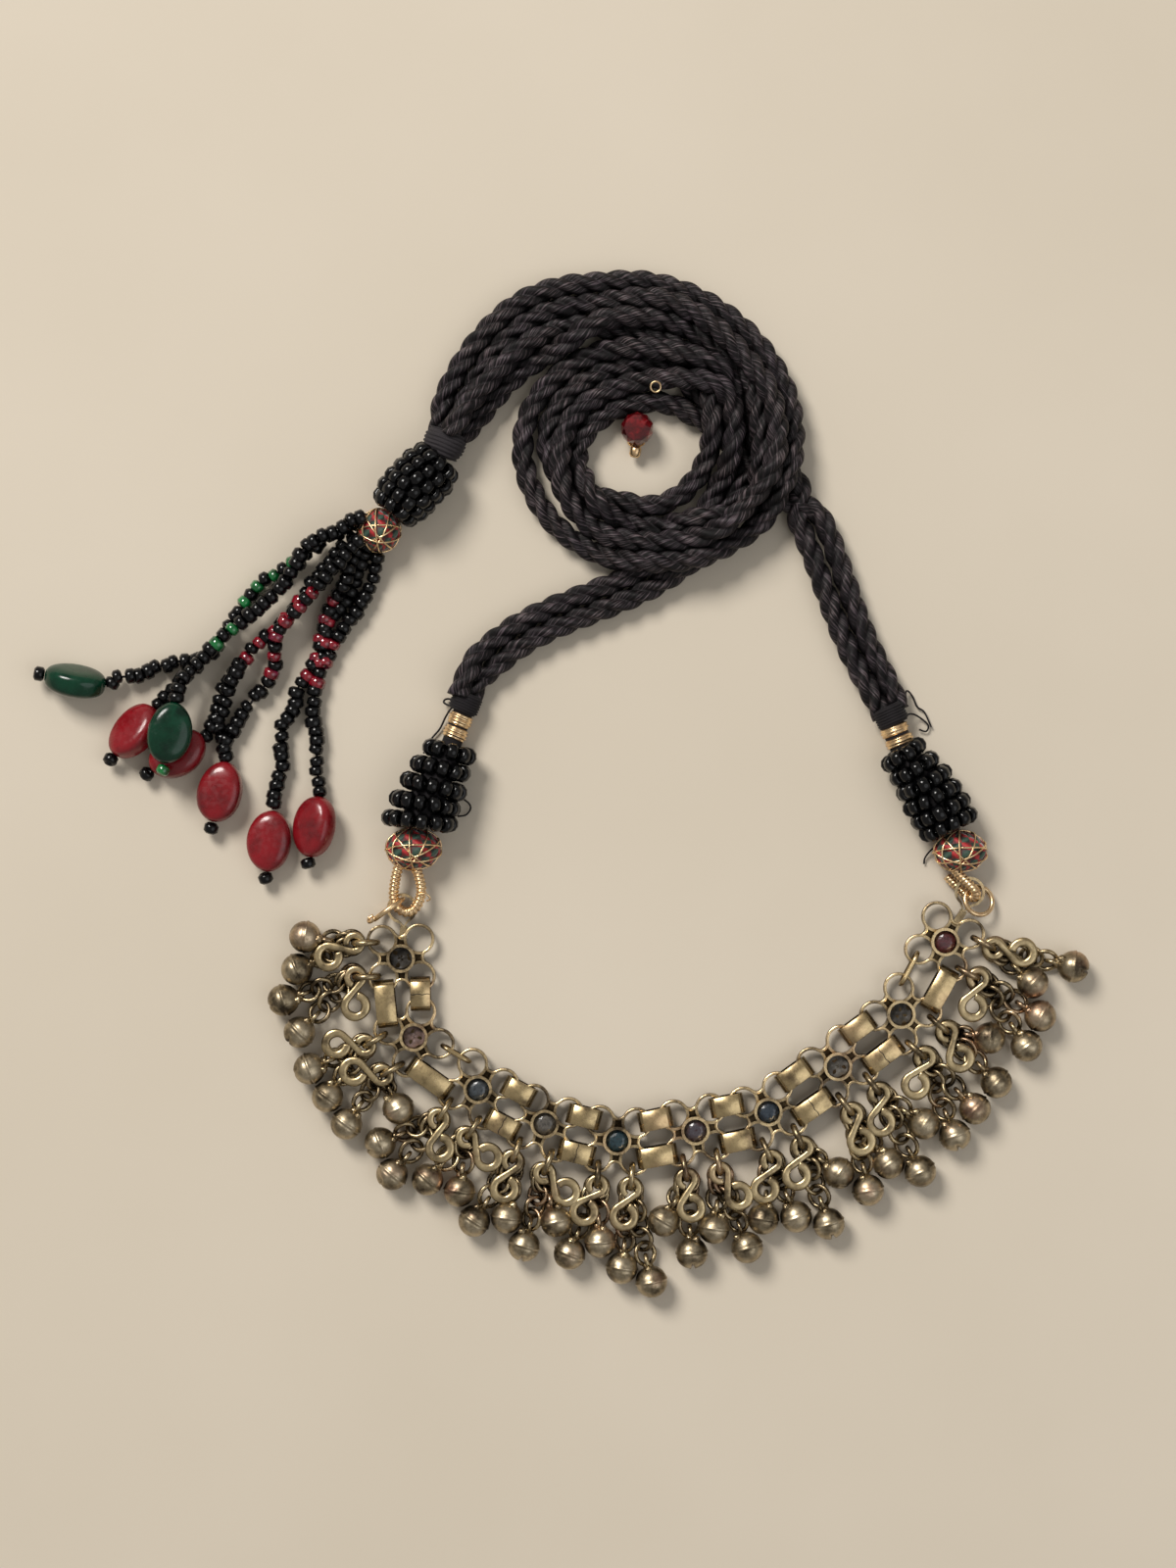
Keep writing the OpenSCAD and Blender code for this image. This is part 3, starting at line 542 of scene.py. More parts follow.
def bead_array(name, middles, ways, material, slot, replaced=(), radius=1.55, half=1.05, hole=0.5, sizes=1.0):
    """The same bead at each middle, its hole along each way and its size its own."""
    m, x = np.asarray(middles, float), unit(np.asarray(ways, float))
    help_by = np.where(abs(x[:, 2:]) > 0.9, [[1.0, 0, 0]], [[0, 0, 1.0]])
    y = unit(np.cross(help_by, x))
    shape, faces = bead_shape(radius, half, hole)
    basis = np.stack([x, y, np.cross(x, y)], 1) * np.broadcast_to(sizes, len(m))[:, None, None]
    points = (np.einsum("pk,nkc->npc", shape, basis) + m[:, None]).reshape(-1, 3)
    every = (faces[None] + (np.arange(len(m)) * len(shape))[:, None, None]).reshape(-1, 4)
    return piece(name, points, every.tolist(), material, slot, replaced)


# Rows of a sleeve, from the rope's side: middle x and y, half width and half height
LEFT_ROWS = [
    (-22.4, 23.7, 5.9, 5.2), (-24.2, 20.0, 6.6, 5.6), (-25.8, 16.2, 7.2, 6), (-27.6, 12.5, 7.8, 6.2),
    (-28.8, 8.7, 8.2, 6.2),
]
RIGHT_ROWS = [
    (76.7, 23.0, 5.3, 5.2), (79.0, 20.0, 5.9, 5.6), (81.0, 16.9, 6.5, 5.8), (82.8, 13.8, 6.9, 5.8),
    (84.7, 10.8, 7.0, 5.7), (86.3, 7.9, 6.7, 5.4),
]
TASSEL_ROWS = [
    (-25.4, 86.6, 5.8, 5.6), (-27.2, 84.6, 6.5, 6), (-29.0, 82.6, 6.8, 6.2), (-30.8, 80.6, 6.8, 6.2),
    (-32.4, 78.7, 6.4, 6), (-33.9, 76.9, 5.6, 5.4),
]
# From a sleeve's outline in to its beads' middles, and the step from bead to bead round a row
SEAT, BEAD_STEP = 1.7, 2.6
chance = np.random.default_rng(7)


def sleeve(side, rows, lean):
    """Rows of seed beads round a rope end, each row an upright ellipse of beads strung along it, over a
    dark core. The rows are turned by lean degrees from square to the sleeve."""
    rows = np.array(rows)
    heading = unit(np.column_stack([np.gradient(rows[:, :2], axis=0), np.zeros(len(rows))]))
    lean = np.radians(lean)
    left = np.cos(lean) * np.cross(UP, heading) - np.sin(lean) * heading
    middles, ways = [], []
    for k, (x, y, w, h) in enumerate(rows):
        wide, high = w - SEAT, h - SEAT
        count = int(round(np.pi * (wide + high) / BEAD_STEP))
        t = (np.arange(count) + 0.5 * (k % 2)) / count * FULL
        c, s = np.cos(t)[:, None], np.sin(t)[:, None]
        middles.append(np.array([x, y, h + 0.1]) + wide * c * left[k] + high * s * UP)
        ways.append(-wide * s * left[k] + high * c * UP)
    middles, ways = np.vstack(middles), unit(np.vstack(ways))
    middles += chance.normal(0, 0.09, middles.shape)
    ways += chance.normal(0, 0.1, ways.shape)
    middles[:, 2] = np.maximum(middles[:, 2], 2.2)
    bead_array(f"seed_beads_{side}", middles, ways, BLACK_BEAD, "black_glass", (f"bead_sleeve_{side}",),
               radius=1.96, half=1.27, sizes=chance.normal(1.02, 0.03, len(middles)))
    core = smooth_path(np.column_stack([rows[:, :2], rows[:, 3] + 0.1]), 0.8)
    narrow = np.minimum(rows[:, 2], rows[:, 3]) - 2.3
    thick = np.interp(np.linspace(0, 1, len(core)), np.linspace(0, 1, len(rows)), narrow)
    joined_piece(f"sleeve_core_{side}", [swept(core, thick[:, None], 20)], BLACK_THREAD, "black_thread")


for side, rows, lean in (("left", LEFT_ROWS, 11), ("right", RIGHT_ROWS, -4), ("tassel", TASSEL_ROWS, 0)):
    sleeve(side, rows, lean)

# Oval beads: middle, direction of the bore and roll about it
OVALS = [
    (-104.0, 39.2, 4.0, 169, 68), (-91.1, 28.2, 3.6, 229, 38), (-81.8, 23.3, 2.9, 213, 8),
    (-82.8, 27.7, 9.0, 259, -6), (-72.6, 14.9, 2.9, 256, 8), (-61.8, 4.2, 2.9, 264, 5),
    (-51.9, 7.4, 3.5, 260, 34),
]
GREEN_OVALS = (1, 4)
# Half axes of an oval, and from its middle to the seed bead at its end
OVAL_HALF, OVAL_TIP = (6.7, 4.85, 2.8), 8.15

# Each string's way, and the number of the oval that it ends on, or 0
STRINGS = [
    [(-39.5, 74.2, 6), (-44, 73, 5), (-50, 70, 4), (-54, 66, 3.5), (-59, 63.5, 3), (-64, 60.5, 2.5),
     (-66.5, 57, 2), (-69.5, 53, 2), (-72, 48.5, 2), (-77, 43.7, 2), (-82.5, 43.5, 2), (-87, 42, 2),
     (-91, 40.3, 2.4), (-95.2, 39.9, 3.2)],
    [(-76, 44.6, 2.6), (-79, 41.3, 2), (-81, 39, 2.4), (-84, 36, 2.8), (-86.6, 33.4, 2.9)],
    [(-40.5, 75, 8), (-47, 72, 8), (-53, 68.5, 7.2), (-58, 61, 6), (-63, 55.5, 5.4), (-68, 51.5, 5),
     (-72, 48.5, 5), (-76, 44.5, 5.5), (-80, 40, 7.6), (-81.2, 36.2, 8.8)],
    [(-67.5, 43.8, 5.6), (-70.2, 38.5, 4.6), (-72, 33, 3), (-74.2, 29.8, 2.6), (-76, 27, 2.9)],
    [(-40.8, 71, 6), (-45.5, 68.5, 5), (-50.5, 62.7, 5), (-55, 57, 4.6), (-59, 51.3, 4.6), (-64, 48, 4),
     (-67.5, 43.5, 3), (-71.3, 38.6, 2), (-73, 34.3, 2), (-73.2, 30, 2), (-71.6, 24.6, 2.4),
     (-71, 23.2, 2.7)],
    [(-41.2, 70.5, 8), (-48, 63, 8), (-52, 58.5, 7.4), (-56, 54.3, 7), (-60, 48.5, 5.5), (-61.2, 41, 2.4),
     (-65.5, 35, 2), (-69, 30, 2), (-71.3, 26, 2.4), (-71.2, 23.4, 2.8)],
    [(-40.6, 70, 4.5), (-44.6, 64, 5), (-44.8, 60, 5), (-48.5, 56, 3), (-50.2, 48.5, 2), (-52, 43.5, 2),
     (-55.6, 37.7, 2), (-56.9, 32.2, 2), (-59.4, 29.5, 2), (-59, 22, 2), (-60, 17, 2), (-60.9, 12.2, 2.6)],
    [(-39.6, 69.5, 5), (-41.4, 65.7, 4), (-44.8, 57, 2), (-48.5, 52.8, 2), (-51.3, 39.2, 2),
     (-52.4, 32.8, 2), (-51.6, 25, 2), (-51.5, 20, 2), (-50.6, 15.4, 2.6)],
    [(-38.2, 69, 4), (-38.5, 66, 4), (-39.5, 60.5, 2), (-44.2, 52.8, 2), (-48.5, 45.7, 2),
     (-49.8, 42.2, 2)],
]
STRING_OVAL = [1, 2, 4, 3, 5, 0, 6, 7, 0]
# How far the strings sit below their ways, and the steps of the beads and of the thread
SAG = np.array([0, 0, -0.35])
STRING_STEP, THREAD_STEP = 2.2, 1.5
# From an oval's middle to the string's end at its bore
STRING_END = 6.9


def tassel():
    """Seed beads at even steps along each string, turned and moved a little, with red and green ones among
    the black. Green ones lie on a stretch of the first and of the third string, and red ones on the middle
    stretches of the fifth and later ones."""
    black, red, green = [], [], []
    threads = []
    for k, way in enumerate(STRINGS):
        if STRING_OVAL[k]:
            x, y, z, direction = OVALS[STRING_OVAL[k] - 1][:4]
            way = way + [tuple(np.array([x, y, max(z - 0.6, 2.4)]) - STRING_END * turned(direction)[0])]
        path = smooth_path(way, STRING_STEP) + SAG
        middle = (path[1:] + path[:-1]) / 2 + chance.normal(0, 0.2, (len(path) - 1, 3))
        middle[:, 2] = np.maximum(middle[:, 2], 1.9)
        way_on = unit(path[1:] - path[:-1]) + chance.normal(0, 0.14, (len(path) - 1, 3))
        x, y = middle[:, 0], middle[:, 1]
        odd = np.arange(len(middle)) % 2 == 1
        is_green = odd & (k == 0) & (y > 54.5) & (y < 66) & (x < -55) | odd & (k == 2) & (x < -66) & (y > 47)
        is_red = odd & (k > 3) & (y > 38) & (y < 58.5) & (x > -67) & (x < -47)
        for group, mask in ((green, is_green), (red, is_red), (black, ~(is_green | is_red))):
            group.append(np.hstack([middle, way_on])[mask])
        threads.append(swept(smooth_path(way, THREAD_STEP) + SAG, 0.3, 6))
    strung = ("black", black, BLACK_BEAD), ("red", red, RED_SEED), ("green", green, GREEN_SEED)
    for name, group, finish in strung:
        group = np.vstack(group)
        bead_array(f"tassel_beads_{name}", group[:, :3], group[:, 3:], finish, "black_glass",
                   ("tassel_strings",), radius=1.74, half=1.1, sizes=chance.normal(1.0, 0.06, len(group)))
    joined_piece("tassel_threads", threads, BLACK_THREAD, "black_thread")


tassel()


def oval_bead(number, x, y, z, direction, roll):
    """Flat pebble with half axes a, b and c. With the height angle v and the round angle w, the place is
    a*k*cos(w)*m, b*k*sin(w)*m and c*s, where k is cos(v) to the power 0.48, s is sin(v) to the power 0.66
    with its sign, and m is 1 + 0.012*sin(3w + number)*cos(v). Gives the place of the seed bead at its end,
    and the bore's direction."""
    rows, sides = 23, 40
    v, w = ball_angles(rows, sides)
    c, s = np.cos(v) ** 0.48, np.sign(np.sin(v)) * abs(np.sin(v)) ** 0.66
    bump = 1 + 0.012 * np.sin(3 * w + number) * np.cos(v)
    a, b, h = OVAL_HALF
    local = ball_points(a * c * np.cos(w) * bump, b * c * np.sin(w) * bump, h * s, [0, 0, -h], [0, 0, h])
    ahead, left = turned(direction)
    r = np.radians(roll)
    basis = np.stack([ahead, np.cos(r) * left + np.sin(r) * UP, -np.sin(r) * left + np.cos(r) * UP])
    points = local @ basis + [x, y, z]
    points[:, 2] = np.maximum(points[:, 2], 0.02)
    colour, finish = ("green", GREEN_BEAD) if number in GREEN_OVALS else ("red", RED_BEAD)
    piece(f"smooth_oval_{number}", points, ball_faces(rows, sides), finish, f"{colour}_bead",
          (f"oval_bead_{number}",))
    return np.array([x, y, z]) + OVAL_TIP * ahead, ahead


tips = [oval_bead(k + 1, *o) for k, o in enumerate(OVALS)]
ends = np.array([t[0] for t in tips])
ends[:, 2] = np.maximum(ends[:, 2] - 0.6, 1.6)
end_ways = np.array([t[1] for t in tips]) + chance.normal(0, 0.3, (7, 3)) * [1, 1, 1.4]
lone = np.arange(7) == 3
bead_array("end_beads", ends[~lone], end_ways[~lone], BLACK_BEAD, "black_glass", (), 1.65, 1.15, 0.45)
bead_array("end_bead_green", ends[lone], end_ways[lone], GREEN_SEED, "green_bead", (), 1.5, 1.1, 0.4)


# Wrapped beads with their gold net, wound wires and bindings

# Turn and lean in degrees of the net's loops: five pass near its pole, and three lean well away from it
NET_LOOPS = [(5, 4), (38, -6), (80, 8), (115, -3), (150, 6), (20, 42), (95, -38), (60, 64)]


def net_loop(number, turn, lean, middle, half):
    """Wire round a bead: a circle of the unit ball through the net's leaned pole, stretched to 1.05 of the
    bead's half axes, with a ripple of 0.02*sin(5t + number)."""
    t = np.linspace(0, FULL, 57)[:, None]
    turn, lean = np.radians(turn), np.radians(lean)
    pole = unit(np.array([0.0, -0.45, 0.87]))
    level_one = unit(np.cross(pole, [1, 0, 0]))
    level_two = np.cross(pole, level_one)
    two = np.cos(turn) * level_one + np.sin(turn) * level_two
    one = np.cos(lean) * pole + np.sin(lean) * np.cross(pole, two)
    loop = (np.cos(t) * one + np.sin(t) * two) * half * (1.05 + 0.02 * np.sin(5 * t + number)) + middle
    loop[:, 2] = np.maximum(loop[:, 2], 0.15)
    return swept(loop, 0.2, 6)


def wrapped_bead(side, x, y, a, b, c):
    """Bead of plaited thread with half axes a, b and c. With the height angle v and the round angle w, the
    place is a*cos(v)*cos(w)*m, b*sin(v) and c*cos(v)*sin(w)*m, where the plait's relief m is 1 plus
    0.03*sqrt(cos(v)) times the larger of sin(5w + 7v) and sin(5w - 7v)."""
    rows, sides = 48, 72
    v, w = ball_angles(rows, sides)
    relief = 1 + 0.03 * np.maximum(np.sin(5 * w + 7 * v), np.sin(5 * w - 7 * v)) * np.cos(v) ** 0.5
    wide, high = np.cos(v) * np.cos(w) * relief, np.cos(v) * np.sin(w) * relief
    points = ball_points(a * wide, b * np.sin(v), c * high, [0, -b, 0], [0, b, 0]) + [x, y, c]
    faces = [face[::-1] for face in ball_faces(rows, sides)]
    uv = np.stack(np.broadcast_arrays(w / FULL, v / np.pi + 0.5), -1).reshape(-1, 2)
    piece(f"plaited_bead_{side}", points, faces, PLAIT, "plaited_thread", (f"wrapped_bead_{side}",),
          np.vstack([uv, [[0.5, 0], [0.5, 1]]]))
    wires = [net_loop(k, *loop, [x, y, c], np.array([a, b, c])) for k, loop in enumerate(NET_LOOPS)]
    joined_piece(f"gold_net_{side}", wires, GOLD, "gold_wire")


wrapped_bead("left", -30.2, 2.6, 5.8, 4.4, 4.4)
wrapped_bead("right", 89.0, 2.0, 5.6, 4.3, 4.4)
wrapped_bead("tassel", -37.7, 71.9, 4.5, 4.5, 4.5)


def wound_tube(way, radius, pitch, ridge, sides=14, frame_of=None, flat=1.0, taper=1.0, soft=0.35):
    """Tube of wound wire. At the angle a round it, the radius grows by ridge*|sin(pi*run/pitch + a/2)|^0.7,
    so the ridges run as one helix. It draws in by 0.16*exp(-(distance/soft)^2) of itself at both ends. flat
    narrows its height, and taper is the far end's share of the radius."""
    path = smooth_path(way, pitch / 6)
    run = np.arange(len(path)) * pitch / 6
    inward = np.minimum(run, run[-1] - run)[:, None]
    radius = radius * np.linspace(1, taper, len(run))[:, None] * (1 - 0.16 * np.exp(-(inward / soft) ** 2))
    a = angles(sides)[None] - np.pi / 2
    shape = 1 / np.sqrt(np.cos(a) ** 2 + (np.sin(a) / flat) ** 2)
    r = (radius + ridge * abs(np.sin(np.pi * run[:, None] / pitch + 0.5 * a)) ** 0.7) * shape
    points, faces, uv = swept(path, r, sides, frame_of(path) if frame_of else None)
    return points, faces, uv * [1, run[-1] / 10]


def straight(at, direction, length, z):
    """Four places on a line through a middle."""
    ahead, _ = turned(direction)
    return [np.array([*at, z]) + k * length * ahead for k in (-0.5, -0.17, 0.17, 0.5)]


LEFT_LOOP = [
    (-32.6, 0.5, 4.2), (-33.5, -1.5, 4.4), (-34.2, -4.5, 4.4), (-34.5, -7.6, 4.4), (-33.9, -9.8, 4.4),
    (-32.4, -11.1, 4.4), (-30.6, -11.0, 4.4), (-29.2, -9.4, 4.4), (-28.5, -6.5, 4.4), (-29.0, -3.6, 4.4),
    (-29.5, -2.1, 4.4), (-29.9, 0.2, 4.2),
]
left_wire = wound_tube(LEFT_LOOP, 0.78, 0.88, 0.42)
joined_piece("wound_loop_left", [left_wire], GOLD, "gold_wire", ("wire_loop_left",))

# The right loop is a long U of half width 1.9 that leans over: two legs along its axis and a half circle
axis, slant = unit(np.array([0.71, -0.7, 0])), unit(np.array([0.37, 0.375, 0.85]))
level = unit(np.cross(axis, slant))
bend = np.radians(np.arange(-90, 91, 22.5))[:, None]
legs = np.array([-5.6, -4.4, -3.2, -1.8])[:, None]
u_shape = np.vstack([legs * axis - 1.9 * slant, 1.9 * (np.cos(bend) * axis + np.sin(bend) * slant),
                     legs[::-1] * axis + 1.9 * slant])


def level_frame(path):
    """Frame of a path that lies in the right loop's plane."""
    return np.cross(level, along(path)), np.broadcast_to(level, path.shape)


right_wire = wound_tube(np.array([91.1, -6.7, 2.75]) + u_shape, 0.72, 0.84, 0.38, frame_of=level_frame)
joined_piece("wound_loop_right", [right_wire], GOLD, "gold_wire", ("wire_loop_right",))


def wire_collar(side, at, direction, z, radius, gap):
    """Two coils of gold wire, end to end, over a thread core that shows at both ends."""
    ahead, _ = turned(direction)
    halves = [np.array([*at, 0]) + s * gap * ahead for s in (-1, 1)]
    ways = [straight(h[:2], direction, 2 * gap - 0.4, z) for h in halves]
    coils = [wound_tube(way, radius - 0.12, 0.78, 0.4, 28) for way in ways]
    joined_piece(f"gold_collar_{side}", coils, GOLD, "gold_wire", (f"wire_collar_{side}",))
    core = swept(smooth_path(straight(at, direction, 4 * gap + 4.6, z), 0.5), radius - 0.25, 24)
    joined_piece(f"collar_core_{side}", [core], BLACK_THREAD, "black_thread")


wire_collar("left", (-20.6, 29.2), 70, 3.2, 2.45, 1.55)
wire_collar("right", (75.3, 27.3), 114, 3.4, 2.95, 1.3)


def binding(side, at, direction, length, radius, z, pitch=0.6, ridge=0.3, taper=1.0, soft=0.35,
            thread=BLACK_THREAD):
    """Thread wound round the rope ends."""
    wound = wound_tube(straight(at, direction, length, z), radius, pitch, ridge, 36, None, 0.93, taper, soft)
    joined_piece(f"wound_binding_{side}", [wound], thread, "black_thread", (f"thread_binding_{side}",))


binding("left", (-18.9, 34.4), 68, 4.4, 3.1, 3.2)
binding("right", (73.9, 31.6), 116, 4.4, 3.3, 3.4)
binding("tassel", (-23.5, 90.8), 70, 5.4, 4.1, 4.8, 0.85, 0.4, taper=1.1, soft=1.1, thread=GREY_THREAD)

# Loose ends of thread and wire: radius, and the way
LOOSE = {
    "thread_end_left": (0.22, [
        (-20.6, 33.2, 5), (-21.9, 33.3, 3.4), (-23.3, 31.4, 1.2), (-24.6, 28.8, 0.5), (-26.2, 26.9, 0.4),
        (-27.4, 25.1, 0.5), (-28.1, 23.4, 1.4)]),
    "thread_loop_left": (0.22, [
        (-20.9, 33.6, 5), (-22.3, 33.7, 3.6), (-23.7, 34.5, 1.6), (-23.4, 35.2, 0.9), (-22.5, 35.3, 0.9),
        (-21.4, 34.9, 2), (-20.6, 34.6, 4.4)]),
    "thread_end_right": (0.2, [
        (75.2, 33.4, 5.4), (77.0, 35.8, 3), (77.7, 37.1, 1.2), (78.9, 36.0, 0.5), (80.0, 33.6, 0.4),
        (81.6, 32.4, 0.4), (83.1, 29.1, 0.5)]),
    "thread_loop_right": (0.2, [
        (76.5, 31.4, 5), (78.6, 32.0, 2.6), (80.6, 31.2, 0.7), (82.4, 29.6, 0.5), (82.0, 28.2, 0.5),
        (80.4, 28.6, 0.6)]),
    "thread_tip_sleeve": (0.2, [
        (-19.6, 13.6, 5), (-18.2, 12.4, 2), (-17.9, 11.2, 0.8), (-18.9, 9.9, 0.6), (-20.6, 9.6, 2)]),
    "thread_tip_right": (0.2, [
        (84.4, 3.6, 3), (82.7, 1.9, 1), (81.7, 0.4, 0.4), (81.5, -0.9, 0.3)]),
    "wire_curl_left": (0.2, [
        (-29.4, -7.4, 5.4), (-27.8, -7.2, 5.8), (-26.8, -7.7, 5.6), (-26.6, -8.5, 5.2), (-27.3, -8.8, 5.0)]),
    "wire_tip_left": (0.36, [
        (-38.4, -12.4, 6.6), (-39.2, -13.2, 6.0), (-39.9, -13.4, 5.0), (-39.9, -12.6, 4.2),
        (-39.0, -12.0, 4.2)]),
}
for name, (radius, way) in LOOSE.items():
    finish, slot = (GOLD, "gold_wire") if name.startswith("wire") else (BLACK_THREAD, "black_thread")
    joined_piece(name, [swept(smooth_path(way, 0.4), radius, 8)], finish, slot)


# Stones, empty settings and the bead in the coil

def cut_form(x, y, z, sides, rings, spin=0.0):
    """Facets between rings of (height, radius), every other one turned by half a side, with a flat top and
    bottom."""
    a = angles(sides) + spin
    turn = np.array([0.5 * (k % 2) for k in range(len(rings))])[:, None] * FULL / sides
    h, r = np.array(rings).T[..., None]
    points = np.stack([x + r * np.cos(a + turn), y + r * np.sin(a + turn), z + h + 0 * a], -1).reshape(-1, 3)
    faces = []
    for k in range(len(rings) - 1):
        lo, hi = k * sides, (k + 1) * sides
        for j in range(sides):
            j2 = (j + 1) % sides
            near, far = (j, j2) if k % 2 == 0 else (j2, j)
            faces += [[lo + j, lo + j2, hi + near], [lo + far, hi + j2, hi + j]]
    faces += [list(range(sides))[::-1], [(len(rings) - 1) * sides + j for j in range(sides)]]
    return points, faces


def setting_bed(number, x, y, tone):
    """Uneven bed of an empty setting. At the distance r and the angle a it lies at the height 2.62 +
    0.22*sin(3a + number)*sin(2.2r + number) + 0.12*sin(7a)*r/2.4, and its edge drops to 2.2."""
    rings, sides, wide = 10, 24, 2.46
    a = angles(sides)[None]
    r = np.append(np.linspace(0.05, wide, rings - 1), wide)[:, None]
    z = 2.62 + 0.22 * np.sin(3 * a + number) * np.sin(2.2 * r + number) + 0.12 * np.sin(7 * a) * r / 2.4
    z[-1] = 2.2
    points = np.stack([x + r * np.cos(a), y + r * np.sin(a), z], -1).reshape(-1, 3)
    last = rings * sides
    lids = [list(range(sides)), list(range(last - sides, last))[::-1]]
    faces = grid_faces(rings, sides)[:, ::-1].tolist() + lids
    deep = tuple(0.3 * v for v in tone)
    dirt = glass_bead(f"bed_{number}", 1100, [deep, tone], rough=0.5, bump=0.6, weight=0.0)
    piece(f"setting_bed_{number}", points, faces, dirt, "stone_glass")


# Flowers, with the places and turns that the part's source gives
FLOWERS = [
    (-33.0, -21.4, -88), (-30.2, -38.6, -60), (-16.2, -50.0, -33), (-1.6, -57.5, -21), (14.2, -61.2, -4),
    (31.3, -59.0, 10), (47.2, -54.9, 24), (62.4, -45.0, 37), (76.2, -33.6, 49), (85.8, -17.8, 62),
]
# Deep colour, pale colour and roughness of the stone in a flower
STONES = {
    3: ((0.006, 0.009, 0.012), (0.035, 0.044, 0.052), 0.25),
    4: ((0.02, 0.017, 0.013), (0.075, 0.065, 0.052), 0.4),
    5: ((0.002, 0.008, 0.012), (0.012, 0.035, 0.045), 0.16),
    6: ((0.03, 0.005, 0.008), (0.045, 0.04, 0.05), 0.18),
    7: ((0.003, 0.006, 0.012), (0.018, 0.03, 0.045), 0.16),
    10: ((0.03, 0.004, 0.005), (0.075, 0.014, 0.018), 0.18),
}
# Colour of the bed in a flower without a stone
EMPTY = {1: (0.035, 0.03, 0.024), 2: (0.2, 0.13, 0.115), 8: (0.13, 0.12, 0.105), 9: (0.05, 0.045, 0.038)}
STONE_RINGS = [(0.05, 2.35), (0.55, 2.42), (1.05, 1.75), (1.25, 1.2)]
SLIDER_RINGS = [(0.0, 1.3), (1.1, 2.9), (2.7, 3.6), (4.5, 3.6), (6.1, 2.9), (7.2, 1.3)]
for number, (deep, pale, rough) in STONES.items():
    glass = glass_bead(f"stone_{number}", 900, [deep, pale, deep], rough, bump=0.25, weight=0.5)
    x, y = FLOWERS[number - 1][:2]
    piece(f"cut_stone_{number}", *cut_form(x, y, 2.6, 10, STONE_RINGS, 0.3 * number), glass, "stone_glass",
          ("stones",), smooth=False)
for number, tone in EMPTY.items():
    setting_bed(number, *FLOWERS[number - 1][:2], tone)
slider_form = cut_form(18.6, 94.2, 0.05, 10, SLIDER_RINGS)
piece("cut_bead_coil", *slider_form, SLIDER, "slider_glass", ("slider_bead",), smooth=False)


def wire_ring(middle, radius, rising, thick):
    """Ring of wire whose plane holds the x axis and the rising direction."""
    t = np.linspace(0, FULL, 49)[:, None]
    return swept(middle + radius * (np.cos(t) * [1, 0, 0] + np.sin(t) * rising), thick, 8)


bead_cap = wire_ring([18.4, 91.2, 3.9], 1.7, [0, 0.35, 0.94], 0.28)
tiny_ring = wire_ring([22.5, 102.7, 9.6], 1.1, [0, 1, 0.2], 0.22)
joined_piece("coil_bead_wires", [bead_cap, tiny_ring], GOLD, "gold_wire")
bead_array("coil_bead_tip", [(18.2, 89.4, 2.2)], [(0.2, 1, 0.2)], GOLD, "gold_wire", (), 1.3, 1.3, 0.3)

# Drops: a hook ring, a flat ring, a charm and two bells on chains of rings

# Each row gives the charm's direction, the places of the two bells, and which of the two has the upper
# chain
DROPS = [
    (-153, -53.9, -16.7, -55.7, -23.8, 0), (-90, -58.6, -30.5, -55.1, -37.5, 1),
    (176, -53.0, -45.5, -49.0, -51.6, 0), (172, -44.9, -57.5, -33.5, -54.2, 0),
    (-87, -37.5, -61.7, -34.9, -68.5, 1), (-43, -27.2, -69.7, -20.2, -72.2, 1),
    (-106, -17.0, -78.7, -9.9, -78.0, 0), (-41, -6.1, -84.1, 0.9, -78.8, 1),
    (-117, 3.8, -85.9, 10.5, -83.3, 1), (-104, 15.2, -89, 21.7, -92, 1),
    (-82, 30.5, -85.7, 24.4, -78.7, 1), (-51, 35.4, -80.3, 42.6, -84.5, 0),
    (-104, 46.1, -78.2, 53.3, -77.8, 1), (-102, 60.4, -79.3, 62.6, -68.2, 0),
    (-72, 69.0, -72.0, 73.5, -66.1, 0), (-87, 80.4, -67.9, 81.2, -57.5, 1),
    (-109, 87.9, -60.0, 92.3, -54.2, 1), (-64, 97.0, -48.5, 95.5, -38.8, 0),
    (-101, 103.6, -40.5, 106.6, -34.0, 0), (-8, 113.8, -23.2, 104.9, -26.7, 1),
]
# From a flower's middle to its two hooks, along the chain of flowers and out from it
HOOK_ASIDE, HOOK_OUT = 3.7, 7.6
BELL_RADIUS, RING_RUN = 3.5, 3.2


def ring_tube(path, radius, sides, normal):
    """Closed tube round a flat closed path that is square to the normal."""
    t = unit(np.roll(path, -1, 0) - np.roll(path, 1, 0))
    n = np.broadcast_to(normal, path.shape)
    uv = np.stack(np.meshgrid(np.arange(sides) / sides, np.linspace(0, 1, len(path))), -1).reshape(-1, 2)
    tube = circles(path, radius, angles(sides), np.cross(n, t), n)
    return tube, grid_faces(len(path), sides, True).tolist(), uv


def wire_link(middle, one, two, radius, thick, count=28, sides=10):
    """Round link in the plane of two directions."""
    t = angles(count)[:, None]
    return ring_tube(middle + radius * (np.cos(t) * one + np.sin(t) * two), thick, sides, np.cross(one, two))


def chain(near, far, ahead, height):
    """Round rings threaded into one another between two places, each leaning the other way from the one
    before."""
    run = (far - near) @ ahead
    count = max(2, int(round(run / RING_RUN)))
    step, side = run / count, np.cross(UP, ahead)
    rings = []
    for k in range(count):
        lean = (0.58, -0.58)[k % 2]
        normal = np.cos(lean) * UP + np.sin(lean) * side
        middle = near + (k + 0.5) * step * ahead + [0, 0, height]
        rings.append(wire_link(middle, ahead, np.cross(normal, ahead), step / 2 + 0.82, 0.5, 24))
    return rings


